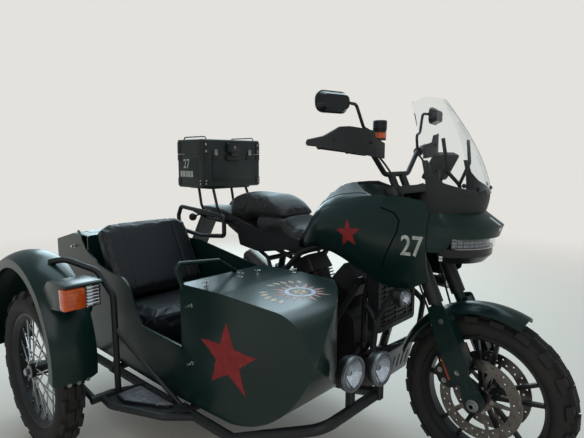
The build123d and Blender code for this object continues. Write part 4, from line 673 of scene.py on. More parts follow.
class OUTFIT_OT_finishes(OutfitMaker, bpy.types.Operator):
    """Make every material and give the CAD nodes theirs"""

    bl_idname = "outfit.finishes"
    bl_label = "Finishes"

    def execute(self, context):
        make_materials()
        for finish, nodes in NODE_FINISH.items():
            for node in nodes:
                slots = NODES[node].material_slots
                if not slots:
                    NODES[node].data.materials.append(MATERIALS[finish])
                for slot in slots:
                    slot.material = MATERIALS[finish]
        return {"FINISHED"}


def inflate(piece, swell):
    """Swells a closed cushion like stuffed cloth, and keeps every point within swell of its pattern."""
    voxel_mm, pressure, last_frame = 7.0, 4.0, 18
    remesh = piece.modifiers.new("even_mesh", "REMESH")
    remesh.mode = "VOXEL"
    remesh.voxel_size = voxel_mm * MM
    graph = bpy.context.evaluated_depsgraph_get()
    even = bpy.data.meshes.new_from_object(piece.evaluated_get(graph))
    piece.modifiers.clear()
    old = piece.data
    even.materials.clear()
    even.materials.append(old.materials[0])
    piece.data = even
    bpy.data.meshes.remove(old)
    rest = [vert.co.copy() for vert in even.vertices]
    cloth = piece.modifiers.new("cloth", "CLOTH")
    cloth.settings.use_pressure = True
    cloth.settings.uniform_pressure_force = pressure
    cloth.settings.tension_stiffness = 8
    cloth.settings.bending_stiffness = 2
    cloth.settings.effector_weights.gravity = 0
    scene = bpy.context.scene
    for step in range(1, last_frame + 1):
        scene.frame_set(step)
    graph = bpy.context.evaluated_depsgraph_get()
    swollen = bpy.data.meshes.new_from_object(piece.evaluated_get(graph))
    piece.modifiers.clear()
    scene.frame_set(1)
    for vert, start, end in zip(even.vertices, rest, swollen.vertices):
        move = end.co - start
        vert.co = start + (move * (swell / move.length) if move.length > swell else move)
    bpy.data.meshes.remove(swollen)
    for polygon in even.polygons:
        polygon.use_smooth = True


def sew(piece, distance, depth_mm, width_mm):
    """Presses a seam into a cushion: distance(point) gives how far a point lies from it in metres."""
    mesh = piece.data
    # beyond this many widths the press is too shallow to see
    widest = 2.5
    normals = [vert.normal.copy() for vert in mesh.vertices]
    for vert, normal in zip(mesh.vertices, normals):
        gap = distance(vert.co) / (width_mm * MM)
        if gap < widest:
            vert.co -= normal * depth_mm * MM * exp(-gap * gap)


def smooth_pad(piece):
    """One level of subdivision over the swollen cloth."""
    surface = piece.modifiers.new("smooth", "SUBSURF")
    surface.levels = surface.render_levels = 1


def make_cushion(name, place, finish, node, seams, cuts=10):
    """A cushion shaped by place(u, v, w), each from -1 to 1, then swollen and sewn."""
    # the cube's edges and corners are drawn in by these shares, so that the cover turns over them
    # softly; the power keeps the faces' middles as they are
    side_draw, top_draw, power = 0.04, 0.15, 8
    bm = bmesh.new()
    bmesh.ops.create_cube(bm, size=2)
    bmesh.ops.subdivide_edges(bm, edges=bm.edges, cuts=cuts, use_grid_fill=True)
    for vert in bm.verts:
        u, v, w = vert.co
        vert.co = place(u * (1 - side_draw * max(abs(v), abs(w)) ** power),
                        v * (1 - side_draw * max(abs(u), abs(w)) ** power),
                        w * (1 - top_draw * max(abs(u), abs(v)) ** power))
    piece = new_piece(name, bm, finish, "chassis", 180)
    inflate(piece, sizes().swell)
    for distance, depth, width in seams:
        sew(piece, distance, depth, width)
    smooth_pad(piece)
    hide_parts(node)


def blend_values(table, x):
    """The value at x on a smooth run through (x, value) pairs in falling order of x."""
    if x >= table[0][0]:
        return table[0][1]
    for (x1, v1), (x2, v2) in zip(table, table[1:]):
        if x >= x2:
            share = (x1 - x) / (x1 - x2)
            share = share * share * (3 - 2 * share)
            return v1 + (v2 - v1) * share
    return table[-1][1]


class OUTFIT_OT_sidecar_seat(OutfitMaker, bpy.types.Operator):
    """Upholster the sidecar's cushion and backrest"""

    bl_idname = "outfit.sidecar_seat"
    bl_label = "Sidecar seat"

    def execute(self, context):
        middle_y, half_w = -501.0, 250.0

        def cushion(u, v, w):
            """The cushion: higher ahead, hollow in its middle and waisted at half its height."""
            rise, foot_z = (w + 1) / 2, 414.0
            x = 198.0 + (192.0 + 8.0 * rise) * u
            top = 556.0 + 14.0 * u - 10.0 * (1 - v * v) * (1 - u * u)
            waist = 6.0 * (1 - w * w)
            return at(x, middle_y + v * (half_w - waist + 3 * u), foot_z + (top - foot_z) * rise)

        def front_welt(point):
            """The welt that runs round the cushion's upper edge."""
            return abs(point.z - 0.545)

        make_cushion("sidecar_cushion", cushion, "vinyl", "sidecar_seat",
                     ((front_welt, 3.0, 5.0),))

        def backrest(u, v, w):
            """The leaning back: thinner at its head, where its corners are round."""
            rise = (w + 1) / 2
            foot, head = Vector((76.0, 0, 566.0)), Vector((-108.0, 0, 928.0))
            line = foot.lerp(head, rise)
            thick = 40.0 - 8.0 * rise
            corner = 40.0 * max(0.0, rise - 0.7) * abs(v) ** 6
            ahead = Vector((0.887, 0, 0.461)) * (u * thick + 6.0 * (1 - v * v))
            return at(line.x + ahead.x, middle_y + v * (half_w + 10), line.z + ahead.z - corner)

        def side_seam(point):
            """The two upright seams that part the side bolsters from the middle panel."""
            y = (point.y - REAR_AXLE.y) / MM - middle_y
            return abs(abs(y) - 150.0) * MM

        make_cushion("sidecar_back_cushion", backrest, "vinyl", "sidecar_backrest",
                     ((side_seam, 4.0, 5.0),))
        return {"FINISHED"}


class OUTFIT_OT_motorcycle_seats(OutfitMaker, bpy.types.Operator):
    """Upholster the rider's and the pillion's seat"""

    bl_idname = "outfit.motorcycle_seats"
    bl_label = "Motorcycle seats"

    def execute(self, context):
        # (place ahead of the rear axle, value) in millimetres, falling
        rider_top = ((742, 882), (700, 901), (650, 908), (620, 930), (596, 956), (560, 962),
                     (400, 962))
        rider_half = ((750, 72), (700, 104), (640, 136), (560, 142), (480, 138), (390, 126))

        def rider(u, v, w):
            """The rider's saddle: dished, with a step up to the pillion."""
            x = 564.0 + 176.0 * u
            top = blend_values(rider_top, x) - 12.0 * v * v
            low = blend_values(((742, 848), (524, 884), (388, 906)), x) - 30.0 * abs(v) ** 3
            half = blend_values(rider_half, x) - 8.0 * max(0.0, w)
            return at(x, v * half, low + (top - low) * (w + 1) / 2)

        def rider_seam(point):
            """The seam round the top panel, 34 mm in from the edge."""
            y = abs(point.y - REAR_AXLE.y) / MM
            x = (point.x - REAR_AXLE.x) / MM
            return abs(y - (blend_values(rider_half, x) - 34.0)) * MM

        make_cushion("rider_saddle", rider, "seat", "rider_seat", ((rider_seam, 2.5, 4.0),), 14)

        pillion_top = ((606, 976), (580, 1004), (540, 1034), (486, 1058), (310, 1066), (200, 1056),
                       (150, 1028))
        pillion_low = ((606, 958), (540, 962), (352, 962), (270, 934), (150, 934))
        pillion_half = ((610, 112), (540, 124), (360, 118), (200, 102), (140, 88))

        def pillion(u, v, w):
            """The pillion's pad, arched over the tail."""
            x = 378.0 + 226.0 * u
            top = blend_values(pillion_top, x) - 16.0 * v * v
            low = blend_values(pillion_low, x)
            half = blend_values(pillion_half, x) + 6.0 * (1 - max(0.0, w))
            return at(x, v * half, low + (top - low) * (w + 1) / 2)

        def pillion_seam(point):
            """The seam along the side, 26 mm below the top."""
            x = (point.x - REAR_AXLE.x) / MM
            return abs(point.z / MM - (blend_values(pillion_top, x) - 26.0)) * MM

        make_cushion("pillion_saddle", pillion, "seat", "pillion_seat",
                     ((pillion_seam, 2.5, 4.0),), 14)
        return {"FINISHED"}


class OUTFIT_OT_painted_marks(OutfitMaker, bpy.types.Operator):
    """Paint the stars and the numbers on the bodywork"""

    bl_idname = "outfit.painted_marks"
    bl_label = "Painted marks"

    def star(self, name, centre, axis, radius, lean, nodes, rng, wide=1.0):
        """A red star with a hand-painted edge; its inner corners lie at waist times its radius."""
        waist, ragged = 0.42, radius * 0.022
        bm = bmesh.new()
        rough_star(bm, upright(centre, axis), radius, waist, ragged, rng, lean, wide)
        laid_piece(name, bm, nodes, axis, "red_paint")

    def number(self, name, words, centre, axis, height, nodes, lift=0.5):
        """A narrow white number, height metres high."""
        narrow, size_for_height, swell_for_height = 0.80, 1.38, 0.02
        text = bpy.data.curves.new(name, "FONT")
        text.body = words
        text.size = height * size_for_height
        text.align_x = "CENTER"
        text.align_y = "CENTER"
        text.offset = height * swell_for_height
        text.resolution_u = 3
        bm = shape_of(text)
        bmesh.ops.transform(bm, matrix=upright(centre, axis) @ Matrix.Diagonal((narrow, 1, 1, 1)),
                            verts=bm.verts)
        laid_piece(name, bm, nodes, axis, "white_paint", lift)

    def execute(self, context):
        rng = random.Random(7)
        self.star("sidecar_star", at(938, -790, 538), RIGHT, sizes().star_radius, radians(1),
                  ("sidecar_cowl",), rng, 1.18)
        for hand, side in SIDES:
            self.star("tank_star_" + side, at(1062, 300 * hand, 946), LEFT * hand,
                      sizes().tank_star_radius, radians(6), ("fuel_tank", "side_panels"), rng)
            self.number("panel_number_" + side, "27", at(1346, 300 * hand, 921), LEFT * hand,
                        sizes().number_height, ("side_panels", "nose_fairing"))
        # the box's raised side panel stands 1.4 mm off the box
        box_lift = 1.6
        self.number("box_number", "27", at(-72, -260, 1226), RIGHT, 0.052, ("top_box",), box_lift)
        bars = bmesh.new()
        for index in range(5):
            add_outline(bars, upright(at(25 * (index - 2) - 72, -260, 1170), RIGHT),
                        ((-10, -17), (10, -17), (10, 17), (-10, 17)))
        laid_piece("box_bars", bars, ("top_box",), RIGHT, "white_paint", box_lift)
        return {"FINISHED"}


class OUTFIT_OT_cowl_ornament(OutfitMaker, bpy.types.Operator):
    """Lay a pale compass rose with leaf sprays on the sidecar's cowl, its colours partly faded and partly
    painted sky sheen
    """

    bl_idname = "outfit.cowl_ornament"
    bl_label = "Cowl ornament"

    def execute(self, context):
        reach = sizes().ornament_radius / MM
        top = Matrix.Translation(at(1092, -556, 900)) @ Matrix.Rotation(radians(-62), 4, "Z")

        def layer(name, shapes, material, lift):
            """One colour of the film, lift millimetres off the cowl."""
            bm = bmesh.new()
            for points in shapes:
                add_outline(bm, top, points)
            laid_piece(name, bm, ("sidecar_cowl",), UP, material, lift, 8.0)

        def ray(angle, inner, outer, spread):
            """A pointed ray between two radii, spread radians wide to each side of its foot."""
            tip = (outer * cos(angle), outer * sin(angle))
            feet = [(inner * cos(angle + turn), inner * sin(angle + turn)) for turn in (-spread, spread)]
            return (feet[0], tip, feet[1])

        def ring_part(start, end, inner, outer):
            """A part of a flat ring, between two angles and two radii."""
            angles = [start + (end - start) * step / 6 for step in range(7)]
            return [(outer * cos(a), outer * sin(a)) for a in angles] + \
                   [(inner * cos(a), inner * sin(a)) for a in reversed(angles)]

        rays = [ray(index * pi / 8, 0.54 * reach, (1.0 if index % 2 == 0 else 0.80) * reach, 0.15)
                for index in range(16)]
        layer("ornament_rays", rays, "film_pink", 0.5)
        rings = [ring_part(index * pi / 6, (index + 1) * pi / 6, 0.36 * reach, 0.50 * reach)
                 for index in range(12)]
        layer("ornament_ring", rings, "film_blue", 0.8)
        petals = [ray(index * pi / 4 + pi / 8, 0.10 * reach, 0.34 * reach, 1.1) for index in range(8)]
        layer("ornament_petals", petals, "film_cream", 0.8)
        leaves = []
        for hand in (-1, 1):
            for index in range(5):
                angle = -pi / 2 + hand * (0.35 + 0.24 * index)
                x, y = 1.16 * reach * cos(angle), 1.16 * reach * sin(angle)
                leaves.append([(x + 0.17 * reach * cos(angle + turn) * size,
                                y + 0.17 * reach * sin(angle + turn) * size)
                               for turn, size in ((0.3, 1.0), (1.6, 0.5), (3.4, 1.0), (4.7, 0.5))])
        layer("ornament_leaves", leaves, "film_cream", 0.5)
        return {"FINISHED"}


class OUTFIT_OT_cover_studs(OutfitMaker, bpy.types.Operator):
    """Set the turn-button studs that hold the sidecar's cover"""

    bl_idname = "outfit.cover_studs"
    bl_label = "Cover studs"

    def execute(self, context):
        tree = surface_of("sidecar_body", "sidecar_cowl", "sidecar_boot")
        reach = sizes().stud_radius / MM
        # places in millimetres and the way each stud is dropped onto the body
        drops = [(at(x, y, 1000), -UP) for x, y in ((768, -738), (764, -556), (776, -472), (884, -362))]
        drops += [(at(x, -900, z), LEFT) for x, z in ((727, 694), (724, 458), (-300, 800), (-420, 640))]
        drops += [(at(x, -100, z), RIGHT) for x, z in ((700, 640), (-420, 760))]
        bm = bmesh.new()
        for start, way in drops:
            hit, _ = landing(tree, start, way, "cover stud")
            axis = -way
            add_turned(bm, hit, axis,
                       ((0, -1), (reach, -1), (reach, 2.0), (reach * 0.5, 3.0), (reach * 0.42, 13.0),
                        (reach * 0.6, 14.0), (reach * 0.6, 18.0), (0, 19.0)), 16)
            add_block(bm, facing(hit + axis * 15.5 * MM, axis, 0.5), (2.6 * reach, 0.45 * reach, 5.0), 0.8)
        new_piece("cover_studs", bm, "chrome", "chassis")
        return {"FINISHED"}


class OUTFIT_OT_lamps(OutfitMaker, bpy.types.Operator):
    """Glaze the round lamps, the fender's lamps and the headlamp"""

    bl_idname = "outfit.lamps"
    bl_label = "Lamps"

    def round_lamp(self, name, centre, radius, depth, rim_w):
        """A lamp that looks ahead: a bright rim, a dished reflector, a bulb shield and a glass."""
        inner = radius - rim_w
        turned_piece(name + "_rim", centre, AHEAD,
                     ((inner, 1), (inner + 1, 5), (radius - 2, 6), (radius + 1, 3), (radius + 1.5, -6),
                      (inner, -7), (inner, 1)), "alloy", steps=56)
        turned_piece(name + "_reflector", centre, AHEAD,
                     [(inner * share, -depth * (1 - share ** 2.2))
                      for share in (0.0, 0.2, 0.4, 0.6, 0.75, 0.9, 0.98)], "reflector", steps=56)
        turned_piece(name + "_bulb", centre, AHEAD,
                     ((0, -depth * 0.30), (radius * 0.12, -depth * 0.34), (radius * 0.18, -depth * 0.5),
                      (radius * 0.18, -depth)), "zinc", steps=24)
        turned_piece(name + "_glass", centre, AHEAD,
                     ((0, 7.0), (radius * 0.5, 5.8), (inner + 0.5, 2.2), (inner + 0.5, 0.4),
                      (radius * 0.5, 4.0), (0, 5.2)), "lens", steps=56)

    def lamp_strip(self, bm, low, high, arc, start, end, thick, steps=24):
        """A strip bent round the headlamp's own middle; arc is its outer radius in millimetres."""
        section = bm.faces.new([
            bm.verts.new(at(LAMP_ARC_X + radius * cos(start), radius * sin(start), z))
            for radius, z in ((arc, low), (arc, high), (arc - thick, high), (arc - thick, low))])
        bmesh.ops.spin(bm, geom=[section, *section.edges, *section.verts], cent=at(LAMP_ARC_X, 0, 0),
                       axis=UP, angle=end - start, steps=steps, use_merge=False, use_duplicate=False)

    def headlamp(self):
        """Three rows of small reflector cells, a bright strip below them and a clear cover."""
        cells = bmesh.new()
        cell_half = radians(3.6)
        for low, high in ((926, 936), (939, 948), (951, 960)):
            for index in range(15):
                middle = radians(-58.8 + 8.4 * index)
                self.lamp_strip(cells, low, high, 152, middle - cell_half, middle + cell_half, 5, 2)
        new_piece("headlamp_cells", cells, "smoked_reflector", "chassis")
        line = bmesh.new()
        self.lamp_strip(line, 921.5, 923, 166, radians(-58), radians(58), 4)
        new_piece("headlamp_line", line, "white_lens", "chassis")
        cover = bmesh.new()
        self.lamp_strip(cover, 921.5, 962.5, 172, radians(-63), radians(63), 2, 40)
        new_piece("headlamp_cover", cover, "lens", "chassis")
        for hand, side in SIDES:
            bm = bmesh.new()
            for z in (890, 879):
                add_block(bm, Matrix.Translation(at(1449, hand * 163, z)) @
                          Matrix.Rotation(radians(-24 * hand), 4, "Z"), (13, 4, 8))
            new_piece("position_lamp_" + side, bm, "white_lens", "chassis")

    def fender_lamp(self):
        """The lamp on the sidecar's fender: a hood, an amber half and a clear half before its cells."""
        clear_y, amber_y, middle_z = -1078, -1148, 762
        hood = bmesh.new()
        add_outline(hood, Matrix.Translation(at(0, -1180, 0)) @ Matrix.Rotation(pi / 2, 4, "X"),
                    ((326, 758), (392, 808), (540, 816), (550, 810), (550, 803), (512, 800), (508, 716),
                     (392, 700)), -138)
        soften(hood, hood.edges[:], 3)
        hood_piece = new_piece("fender_lamp_hood", hood, "green", "chassis")
        amber = bmesh.new()
        add_block(amber, at(530, amber_y, middle_z), (44, 80, 78), 7)
        for index in range(5):
            add_block(amber, at(552.5, amber_y, 734 + 14 * index), (1.5, 60, 5), 0.6)
        new_piece("fender_lamp_amber_half", amber, "amber", "chassis")
        block_piece("fender_lamp_clear_half", at(545, clear_y, middle_z), (14, 54, 78), 5, "lens")
        block_piece("fender_lamp_case", at(524, clear_y, middle_z), (30, 52, 76), 3, "gloss_plastic")
        cells = bmesh.new()
        for row in range(6):
            add_block(cells, at(539.5, clear_y, 733 + 11.6 * row), (3, 42, 10), 1.2)
        new_piece("fender_lamp_reflector", cells, "reflector", "chassis")

    def rear_lamps(self):
        """The lamps behind the fender, the tail lamp and the indicators on their stalks."""
        for name, y, material in (("amber", -1128, "amber"), ("red", -1084, "red_lens")):
            block_piece("rear_lamp_" + name, at(-356, y, 700), (16, 40, 54), 4, material)
        block_piece("tail_lamp", at(-158, 0, 950), (22, 92, 30), 6, "red_lens")
        for hand, side in SIDES:
            stalk = bmesh.new()
            add_rod(stalk, at(-120, hand * 50, 938), at(-132, hand * 128, 914), 5.5)
            add_turned(stalk, at(-132, hand * 142, 910), AHEAD,
                       ((0, 22), (14, 20), (21, 10), (23, 0), (23, -6), (0, -7)), 28)
            new_piece("rear_indicator_body_" + side, stalk, "plastic", "chassis")
            turned_piece("rear_indicator_" + side, at(-139, hand * 142, 910), BACK,
                         ((22, -2), (22, 2), (16, 6), (0, 8)), "amber", steps=28)

    def execute(self, context):
        for index, (x, y, z) in enumerate(((1346, -569, 536), (1379, -440, 522))):
            self.round_lamp("nose_lamp_%d" % index, at(x, y, z), 61.0, 33.0, 10.0)
        for hand, side in SIDES:
            self.round_lamp("fog_lamp_" + side, at(1325, hand * 192, 711), 35.0, 25.0, 5.0)
        self.headlamp()
        self.fender_lamp()
        self.rear_lamps()
        return {"FINISHED"}


class OUTFIT_OT_tank_trim(OutfitMaker, bpy.types.Operator):
    """Lay the cover on the tank's top, set the filler cap in it and paint shade along the tank's joint"""

    bl_idname = "outfit.tank_trim"
    bl_label = "Tank trim"

    def cover(self):
        """The raised cover: its edge follows the tank, its top is flat, its ends turn down."""
        tree = surface_of("fuel_tank")
        rear, rows, columns, skirt = 742, 24, 5, 16
        # (place, value) in millimetres, falling: the cover's half width at its edge and its top
        edge_half = ((1100, 150), (1011, 154), (917, 144), (847, 126), (780, 98), (742, 66))
        top_half = ((1100, 94), (1000, 90), (900, 76), (800, 50), (742, 26))
        top_z = ((1100, 1157), (1000, 1155), (930, 1137), (860, 1102), (800, 1060), (742, 986))

        def front(y):
            """The front end, hollowed round the steering head."""
            return 1158 - 1.103 * (157.8 ** 2 - min(abs(y), 150) ** 2) ** 0.5

        def across(column, x):
            """How far from the middle a column stands at x."""
            half, top = blend_values(edge_half, x), blend_values(top_half, x)
            return (1 if column > 0 else -1) * (0, 0.5 * top, top, top + 4, half, half)[abs(column)]

        def spot(share, column):
            """The point at a share of the length, in a column counted from the middle."""
            x = rear + share * (front(0) - rear)
            x = rear + share * (front(across(column, x)) - rear)
            edge_y = (1 if column > 0 else -1) * blend_values(edge_half, x)
            hit, _ = landing(tree, at(x, edge_y, 1400), -UP, "tank cover")
            low, high = hit.z / MM, blend_values(top_z, x)
            z = (high + 2, high + 1.4, high, high - 3, low + 3, low - 3)[abs(column)]
            return at(x, across(column, x), z)

        bm = bmesh.new()
        bmesh.ops.create_grid(bm, x_segments=rows, y_segments=2 * columns, size=1)
        ends = [edge for edge in bm.edges if all(abs(vert.co.x) > 0.99 for vert in edge.verts)]
        for vert in bm.verts:
            vert.co = spot((vert.co.x + 1) / 2, round(columns * vert.co.y))
        made = bmesh.ops.extrude_edge_only(bm, edges=ends)
        feet = [item for item in made["geom"] if isinstance(item, bmesh.types.BMVert)]
        bmesh.ops.translate(bm, verts=feet, vec=-UP * skirt * MM)
        new_piece("tank_cover", bm, "plastic", "chassis", 24)

    def filler(self):
        """The filler cap with its ring of bolts and its finger bar."""
        turned_piece("filler_cap", at(940, 0, 1138), UP,
                     ((49.5, -2), (49.5, 2), (46, 5), (42, 5), (40, 2.5), (22, 3), (20, 5), (0, 5.5)),
                     "gloss_plastic", steps=56)
        bm = bmesh.new()
        for index in range(6):
            turn = pi / 3 * index + 0.3
            add_bolt(bm, at(940 + 34 * cos(turn), 34 * sin(turn), 1140.5), UP, 3.4, False)
        add_block(bm, at(934, 0, 1145.5), (30, 12, 4))
        new_piece("filler_bolts", bm, "zinc", "chassis")

    def joint(self, hand, side):
        """A strip of painted shade along the gap between the tank's shell and the cover ahead of it."""
        half_width = 3.0
        # places ahead and heights
        path = ((1200, 1064), (1262, 1046), (1288, 1020), (1284, 974), (1263, 925), (1240, 876),
                (1222, 822))
        bm = bmesh.new()
        place = upright(at(0, 320 * hand, 0), LEFT * hand)
        for (x1, z1), (x2, z2) in zip(path, path[1:]):
            run = Vector((x2 - x1, z2 - z1)).normalized() * half_width
            corners = ((x1 - run.y, z1 + run.x), (x1 + run.y, z1 - run.x),
                       (x2 + run.y, z2 - run.x), (x2 - run.y, z2 + run.x))
            add_outline(bm, place, [(-hand * x, z) for x, z in corners])
        laid_piece("tank_joint_shade_" + side, bm, ("fuel_tank", "side_panels"), LEFT * hand, "gap_shade", 0.3)

    def execute(self, context):
        self.cover()
        self.filler()
        for hand, side in SIDES:
            self.joint(hand, side)
        # A pale strip of the lamps' opal white laid along the beak's ridge.
        off_beak = Vector((1, 0, 1)).normalized()
        bm = bmesh.new()
        add_outline(bm, upright(at(1586, 0, 1014) + off_beak * 0.1, off_beak), rounded(20, 62, 4, 3))
        laid_piece("beak_strip", bm, ("nose_fairing",), off_beak, "white_lens")
        return {"FINISHED"}


class OUTFIT_OT_controls(OutfitMaker, bpy.types.Operator):
    """Fit the grips, the mirror glass, the fluid pots, the hoses and the display"""

    bl_idname = "outfit.controls"
    bl_label = "Controls"

    def grip(self, hand, side):
        """A ribbed grip with a flange at each end, over the outer part of the bar's straight end."""
        inner, outer = at(1150, hand * 190, 1286), at(1072, hand * 428, 1312)
        start = inner.lerp(outer, 0.46)
        length = (outer - start).length / MM
        profile = [(13, -1), (22, -1), (22, 3), (17.4, 4)]
        profile += ribbed(7.0, length - 8, 7.0, 17.3, 18.6, 1.2, 5.2)
        profile += [(17.3, length - 6), (20, length - 5), (20, length - 0.5), (13, length)]
        turned_piece("grip_" + side, start, outer - start, profile, "rubber", "steering", 28, 60)

    def mirror(self, hand, side):
        """The silvered glass and the rim round it."""
        turn = radians(12)
        axis = Vector((-cos(turn), -hand * sin(turn), 0))
        centre = at(1118, hand * 411, 1465)
        plate_piece("mirror_glass_" + side, upright(centre + axis * 3.2 * MM, axis),
                    rounded(138, 66, 26), 0.9, 0, "mirror", "steering")
        plate_piece("mirror_rim_" + side, upright(centre - axis * 3.0 * MM, axis),
                    rounded(153, 81, 33), 6.0, 1.5, "gloss_plastic", "steering")

    def brake_hose(self, hand, side):
        """The hose from the bar to the caliper, held behind the fork leg."""
        path = [at(1160, hand * 178, 1280), at(1212, hand * 172, 1238)]
        path += [leg_point(along, ahead, hand * y) for along, ahead, y in (
            (800, 40, 116), (700, 42, 112), (560, -36, 110), (420, -46, 100), (300, -52, 88),
            (190, -92, 74), (150, -104, 66))]
        bent_rod("brake_hose_" + side, path, 4.2, "rubber", "steering")

    def execute(self, context):
        for hand, side in SIDES:
            self.grip(hand, side)
            self.mirror(hand, side)
            self.brake_hose(hand, side)
            set_bolts("guard_bolts_" + side, ("hand_guards",),
                      [(at(1400, hand * y, z), BACK) for y, z in ((268, 1320), (416, 1330))],
                      6.0, "tube_black", "steering")
        pot = at(1184, -184, 0)
        turned_piece("fluid_pot_cap", pot, UP,
                     [(24, 1366), (27, 1368)] + ribbed(1376, 1406, 6, 27, 28.2, 1, 5) +
                     [(25, 1408), (0, 1409)], "plastic", "steering", 40, 60)
        turned_piece("fluid_pot_window", pot, UP, ((24.6, 1338), (26, 1339), (26, 1359), (24.6, 1360)),
                     "amber", "steering", 40)

        lean = radians(28)
        axis = Vector((-cos(lean), 0, sin(lean)))
        plate_piece("display_glass", upright(at(1348, 0, 1232) - axis * MM, axis),
                    rounded(176, 104, 10), 3.0, 1.0, "display")
        drops = [(at(1700, y, z), BACK) for y, z in ((-118, 1158), (118, 1158), (-62, 1146), (62, 1146))]
        set_bolts("screen_bolts", ("windscreen",), drops, 6.0, "plastic", "chassis", False)
        return {"FINISHED"}


class OUTFIT_OT_front_end(OutfitMaker, bpy.types.Operator):
    """Set the bolts, the axle's ends and the reflectors on the fork"""

    bl_idname = "outfit.front_end"
    bl_label = "Front end"

    def reflector(self, hand, side):
        """A ribbed amber reflector along the fork leg."""
        bm = bmesh.new()
        along_leg = Matrix((AHEAD_OF_LEG, LEFT, UP_LEG)).transposed().to_4x4()
        place = Matrix.Translation(leg_point(146, -58, hand * 108)) @ along_leg
        add_block(bm, place, (18, 6, 88), 2)
        for index in range(9):
            rib = place @ Matrix.Translation(Vector((0, hand * 3.2, (index - 4) * 9)) * MM)
            add_block(bm, rib, (14, 1.6, 5), 0.5)
        new_piece("fork_reflector_" + side, bm, "amber", "steering")

    def execute(self, context):
        bolts = bmesh.new()
        nuts = bmesh.new()
        for hand, side in SIDES:
            outward = LEFT * hand
            for along, ahead, y in ((330, 8, 134), (130, -6, 134), (96, -104, 80.5), (140, -104, 80.5)):
                add_bolt(bolts, leg_point(along, ahead, hand * y), outward, 7.5)
            add_turned(nuts, leg_point(0, 0, hand * 129), outward,
                       ((9, -2), (18, -2), (18, 5), (15, 8), (9, 8)), 6)
            add_turned(nuts, leg_point(0, 0, hand * 125), outward,
                       ((9, -1), (24, -1), (24, 2), (20, 4), (9, 4)), 40)
            self.reflector(hand, side)
        new_piece("fork_bolts", bolts, "zinc", "steering")
        new_piece("axle_nuts", nuts, "alloy", "steering")
        hubs = bmesh.new()
        circle, disc_y, count = 48, 59.5, 5
        for hand in (-1, 1):
            for index in range(count):
                turn = 2 * pi / count * index + 0.1
                centre = FRONT_AXLE + Vector((circle * cos(turn), hand * disc_y, circle * sin(turn))) * MM
                add_bolt(hubs, centre, LEFT * hand, 6.0)
        new_piece("disc_bolts", hubs, "zinc", "front_wheel")
        return {"FINISHED"}


class OUTFIT_OT_luggage(OutfitMaker, bpy.types.Operator):
    """Trim the luggage box with its corner guards, latch, raised panel and rails"""

    bl_idname = "outfit.luggage"
    bl_label = "Luggage box"

    def corner_guard(self, bm, hand_x, hand_y, low, high):
        """An angle plate round one upright corner of the box."""
        # the box's half length, half width and corner radius, and the guard's reach along each side
        half_x, half_y, radius, reach = 120, 219, 16, 36

        def around(offset):
            """The guard's outline at a distance off the box's wall."""
            turns = [pi / 2 * (1 - step / 6) for step in range(7)]
            return [(half_x - reach, half_y + offset)] + \
                   [(half_x - radius + (radius + offset) * cos(turn),
                     half_y - radius + (radius + offset) * sin(turn)) for turn in turns] + \
                   [(half_x + offset, half_y - reach)]

        outline = around(3.0) + around(-1.0)[::-1]
        points = [(hand_x * x, hand_y * y) for x, y in outline]
        add_outline(bm, Matrix.Translation(at(-45, 0, low)), points, high - low)

    def guards_and_bolts(self):
        """The corner guards of the box and its lid, and the bolts that hold them."""
        for name, body, low, high in (("box_foot_guards", "chassis", 1104, 1146),
                                      ("box_head_guards", "chassis", 1246, 1281),
                                      ("lid_guards", "box_lid", 1284, 1350)):
            bm = bmesh.new()
            for hand_x in (-1, 1):
                for hand_y in (-1, 1):
                    self.corner_guard(bm, hand_x, hand_y, low, high)
            new_piece(name, bm, "plastic", body)
        bolts = bmesh.new()
        lid_bolts = bmesh.new()
        for hand in (-1, 1):
            for z in (1116, 1134):
                add_bolt(bolts, at(78, hand * 198, z), AHEAD, 4.2, False)
                add_bolt(bolts, at(60, hand * 222, z), LEFT * hand, 4.2, False)
            for z in (1298, 1336):
                add_bolt(lid_bolts, at(78, hand * 196, z), AHEAD, 5.0, False)
        new_piece("box_bolts", bolts, "zinc", "chassis")
        new_piece("lid_bolts", lid_bolts, "zinc", "box_lid")

    def panels(self):
        """The raised panels on the box's front and sides."""
        bm = bmesh.new()
        add_outline(bm, upright(at(74.5, 0, 1190), AHEAD), rounded(300, 120, 14), 3.2, 1.4)
        for hand in (-1, 1):
            add_outline(bm, upright(at(-45, hand * 218.5, 1190), LEFT * hand), rounded(176, 142, 12),
                        1.4, 0.8)
        new_piece("box_panels", bm, "box_green", "chassis")

    def latches(self):
        """The latch's seat on the box, and its plate, lock and catches on the lid."""
        bm = bmesh.new()
        for hand in (-1, 1):
            add_outline(bm, upright(at(74.5, hand * 128, 1262), AHEAD), rounded(46, 26, 6), 5, 1.5)
        add_outline(bm, upright(at(74.5, 0, 1262), AHEAD), rounded(104, 30, 6), 14, 2.5)
        new_piece("box_latch_seat", bm, "plastic", "chassis")
        bm = bmesh.new()
        add_outline(bm, upright(at(92.5, 0, 1320), AHEAD), rounded(84, 42, 8), 3.0, 1.4)
        add_outline(bm, upright(at(92.5, 0, 1286), AHEAD), rounded(60, 26, 8), 5.0, 2.0)
        new_piece("box_latch", bm, "gloss_plastic", "box_lid")
        bm = bmesh.new()
        add_turned(bm, at(95, 0, 1322), AHEAD, ((9, 0), (9, 1.6), (7.5, 2.4), (0, 2.4)), 28)
        for hand in (-1, 1):
            add_block(bm, at(79, hand * 128, 1292), (8, 24, 34), 2)
        new_piece("box_catches", bm, "alloy", "box_lid")

    def execute(self, context):
        self.guards_and_bolts()
        self.panels()
        self.latches()
        for hand, side in SIDES:
            rail = [at(x, hand * 178, z) for x, z in (
                (-148, 1362), (-146, 1379), (-120, 1380), (30, 1380), (56, 1379), (58, 1362))]
            bent_rod("lid_rail_" + side, rail, 4.0, "alloy", "box_lid")
        return {"FINISHED"}


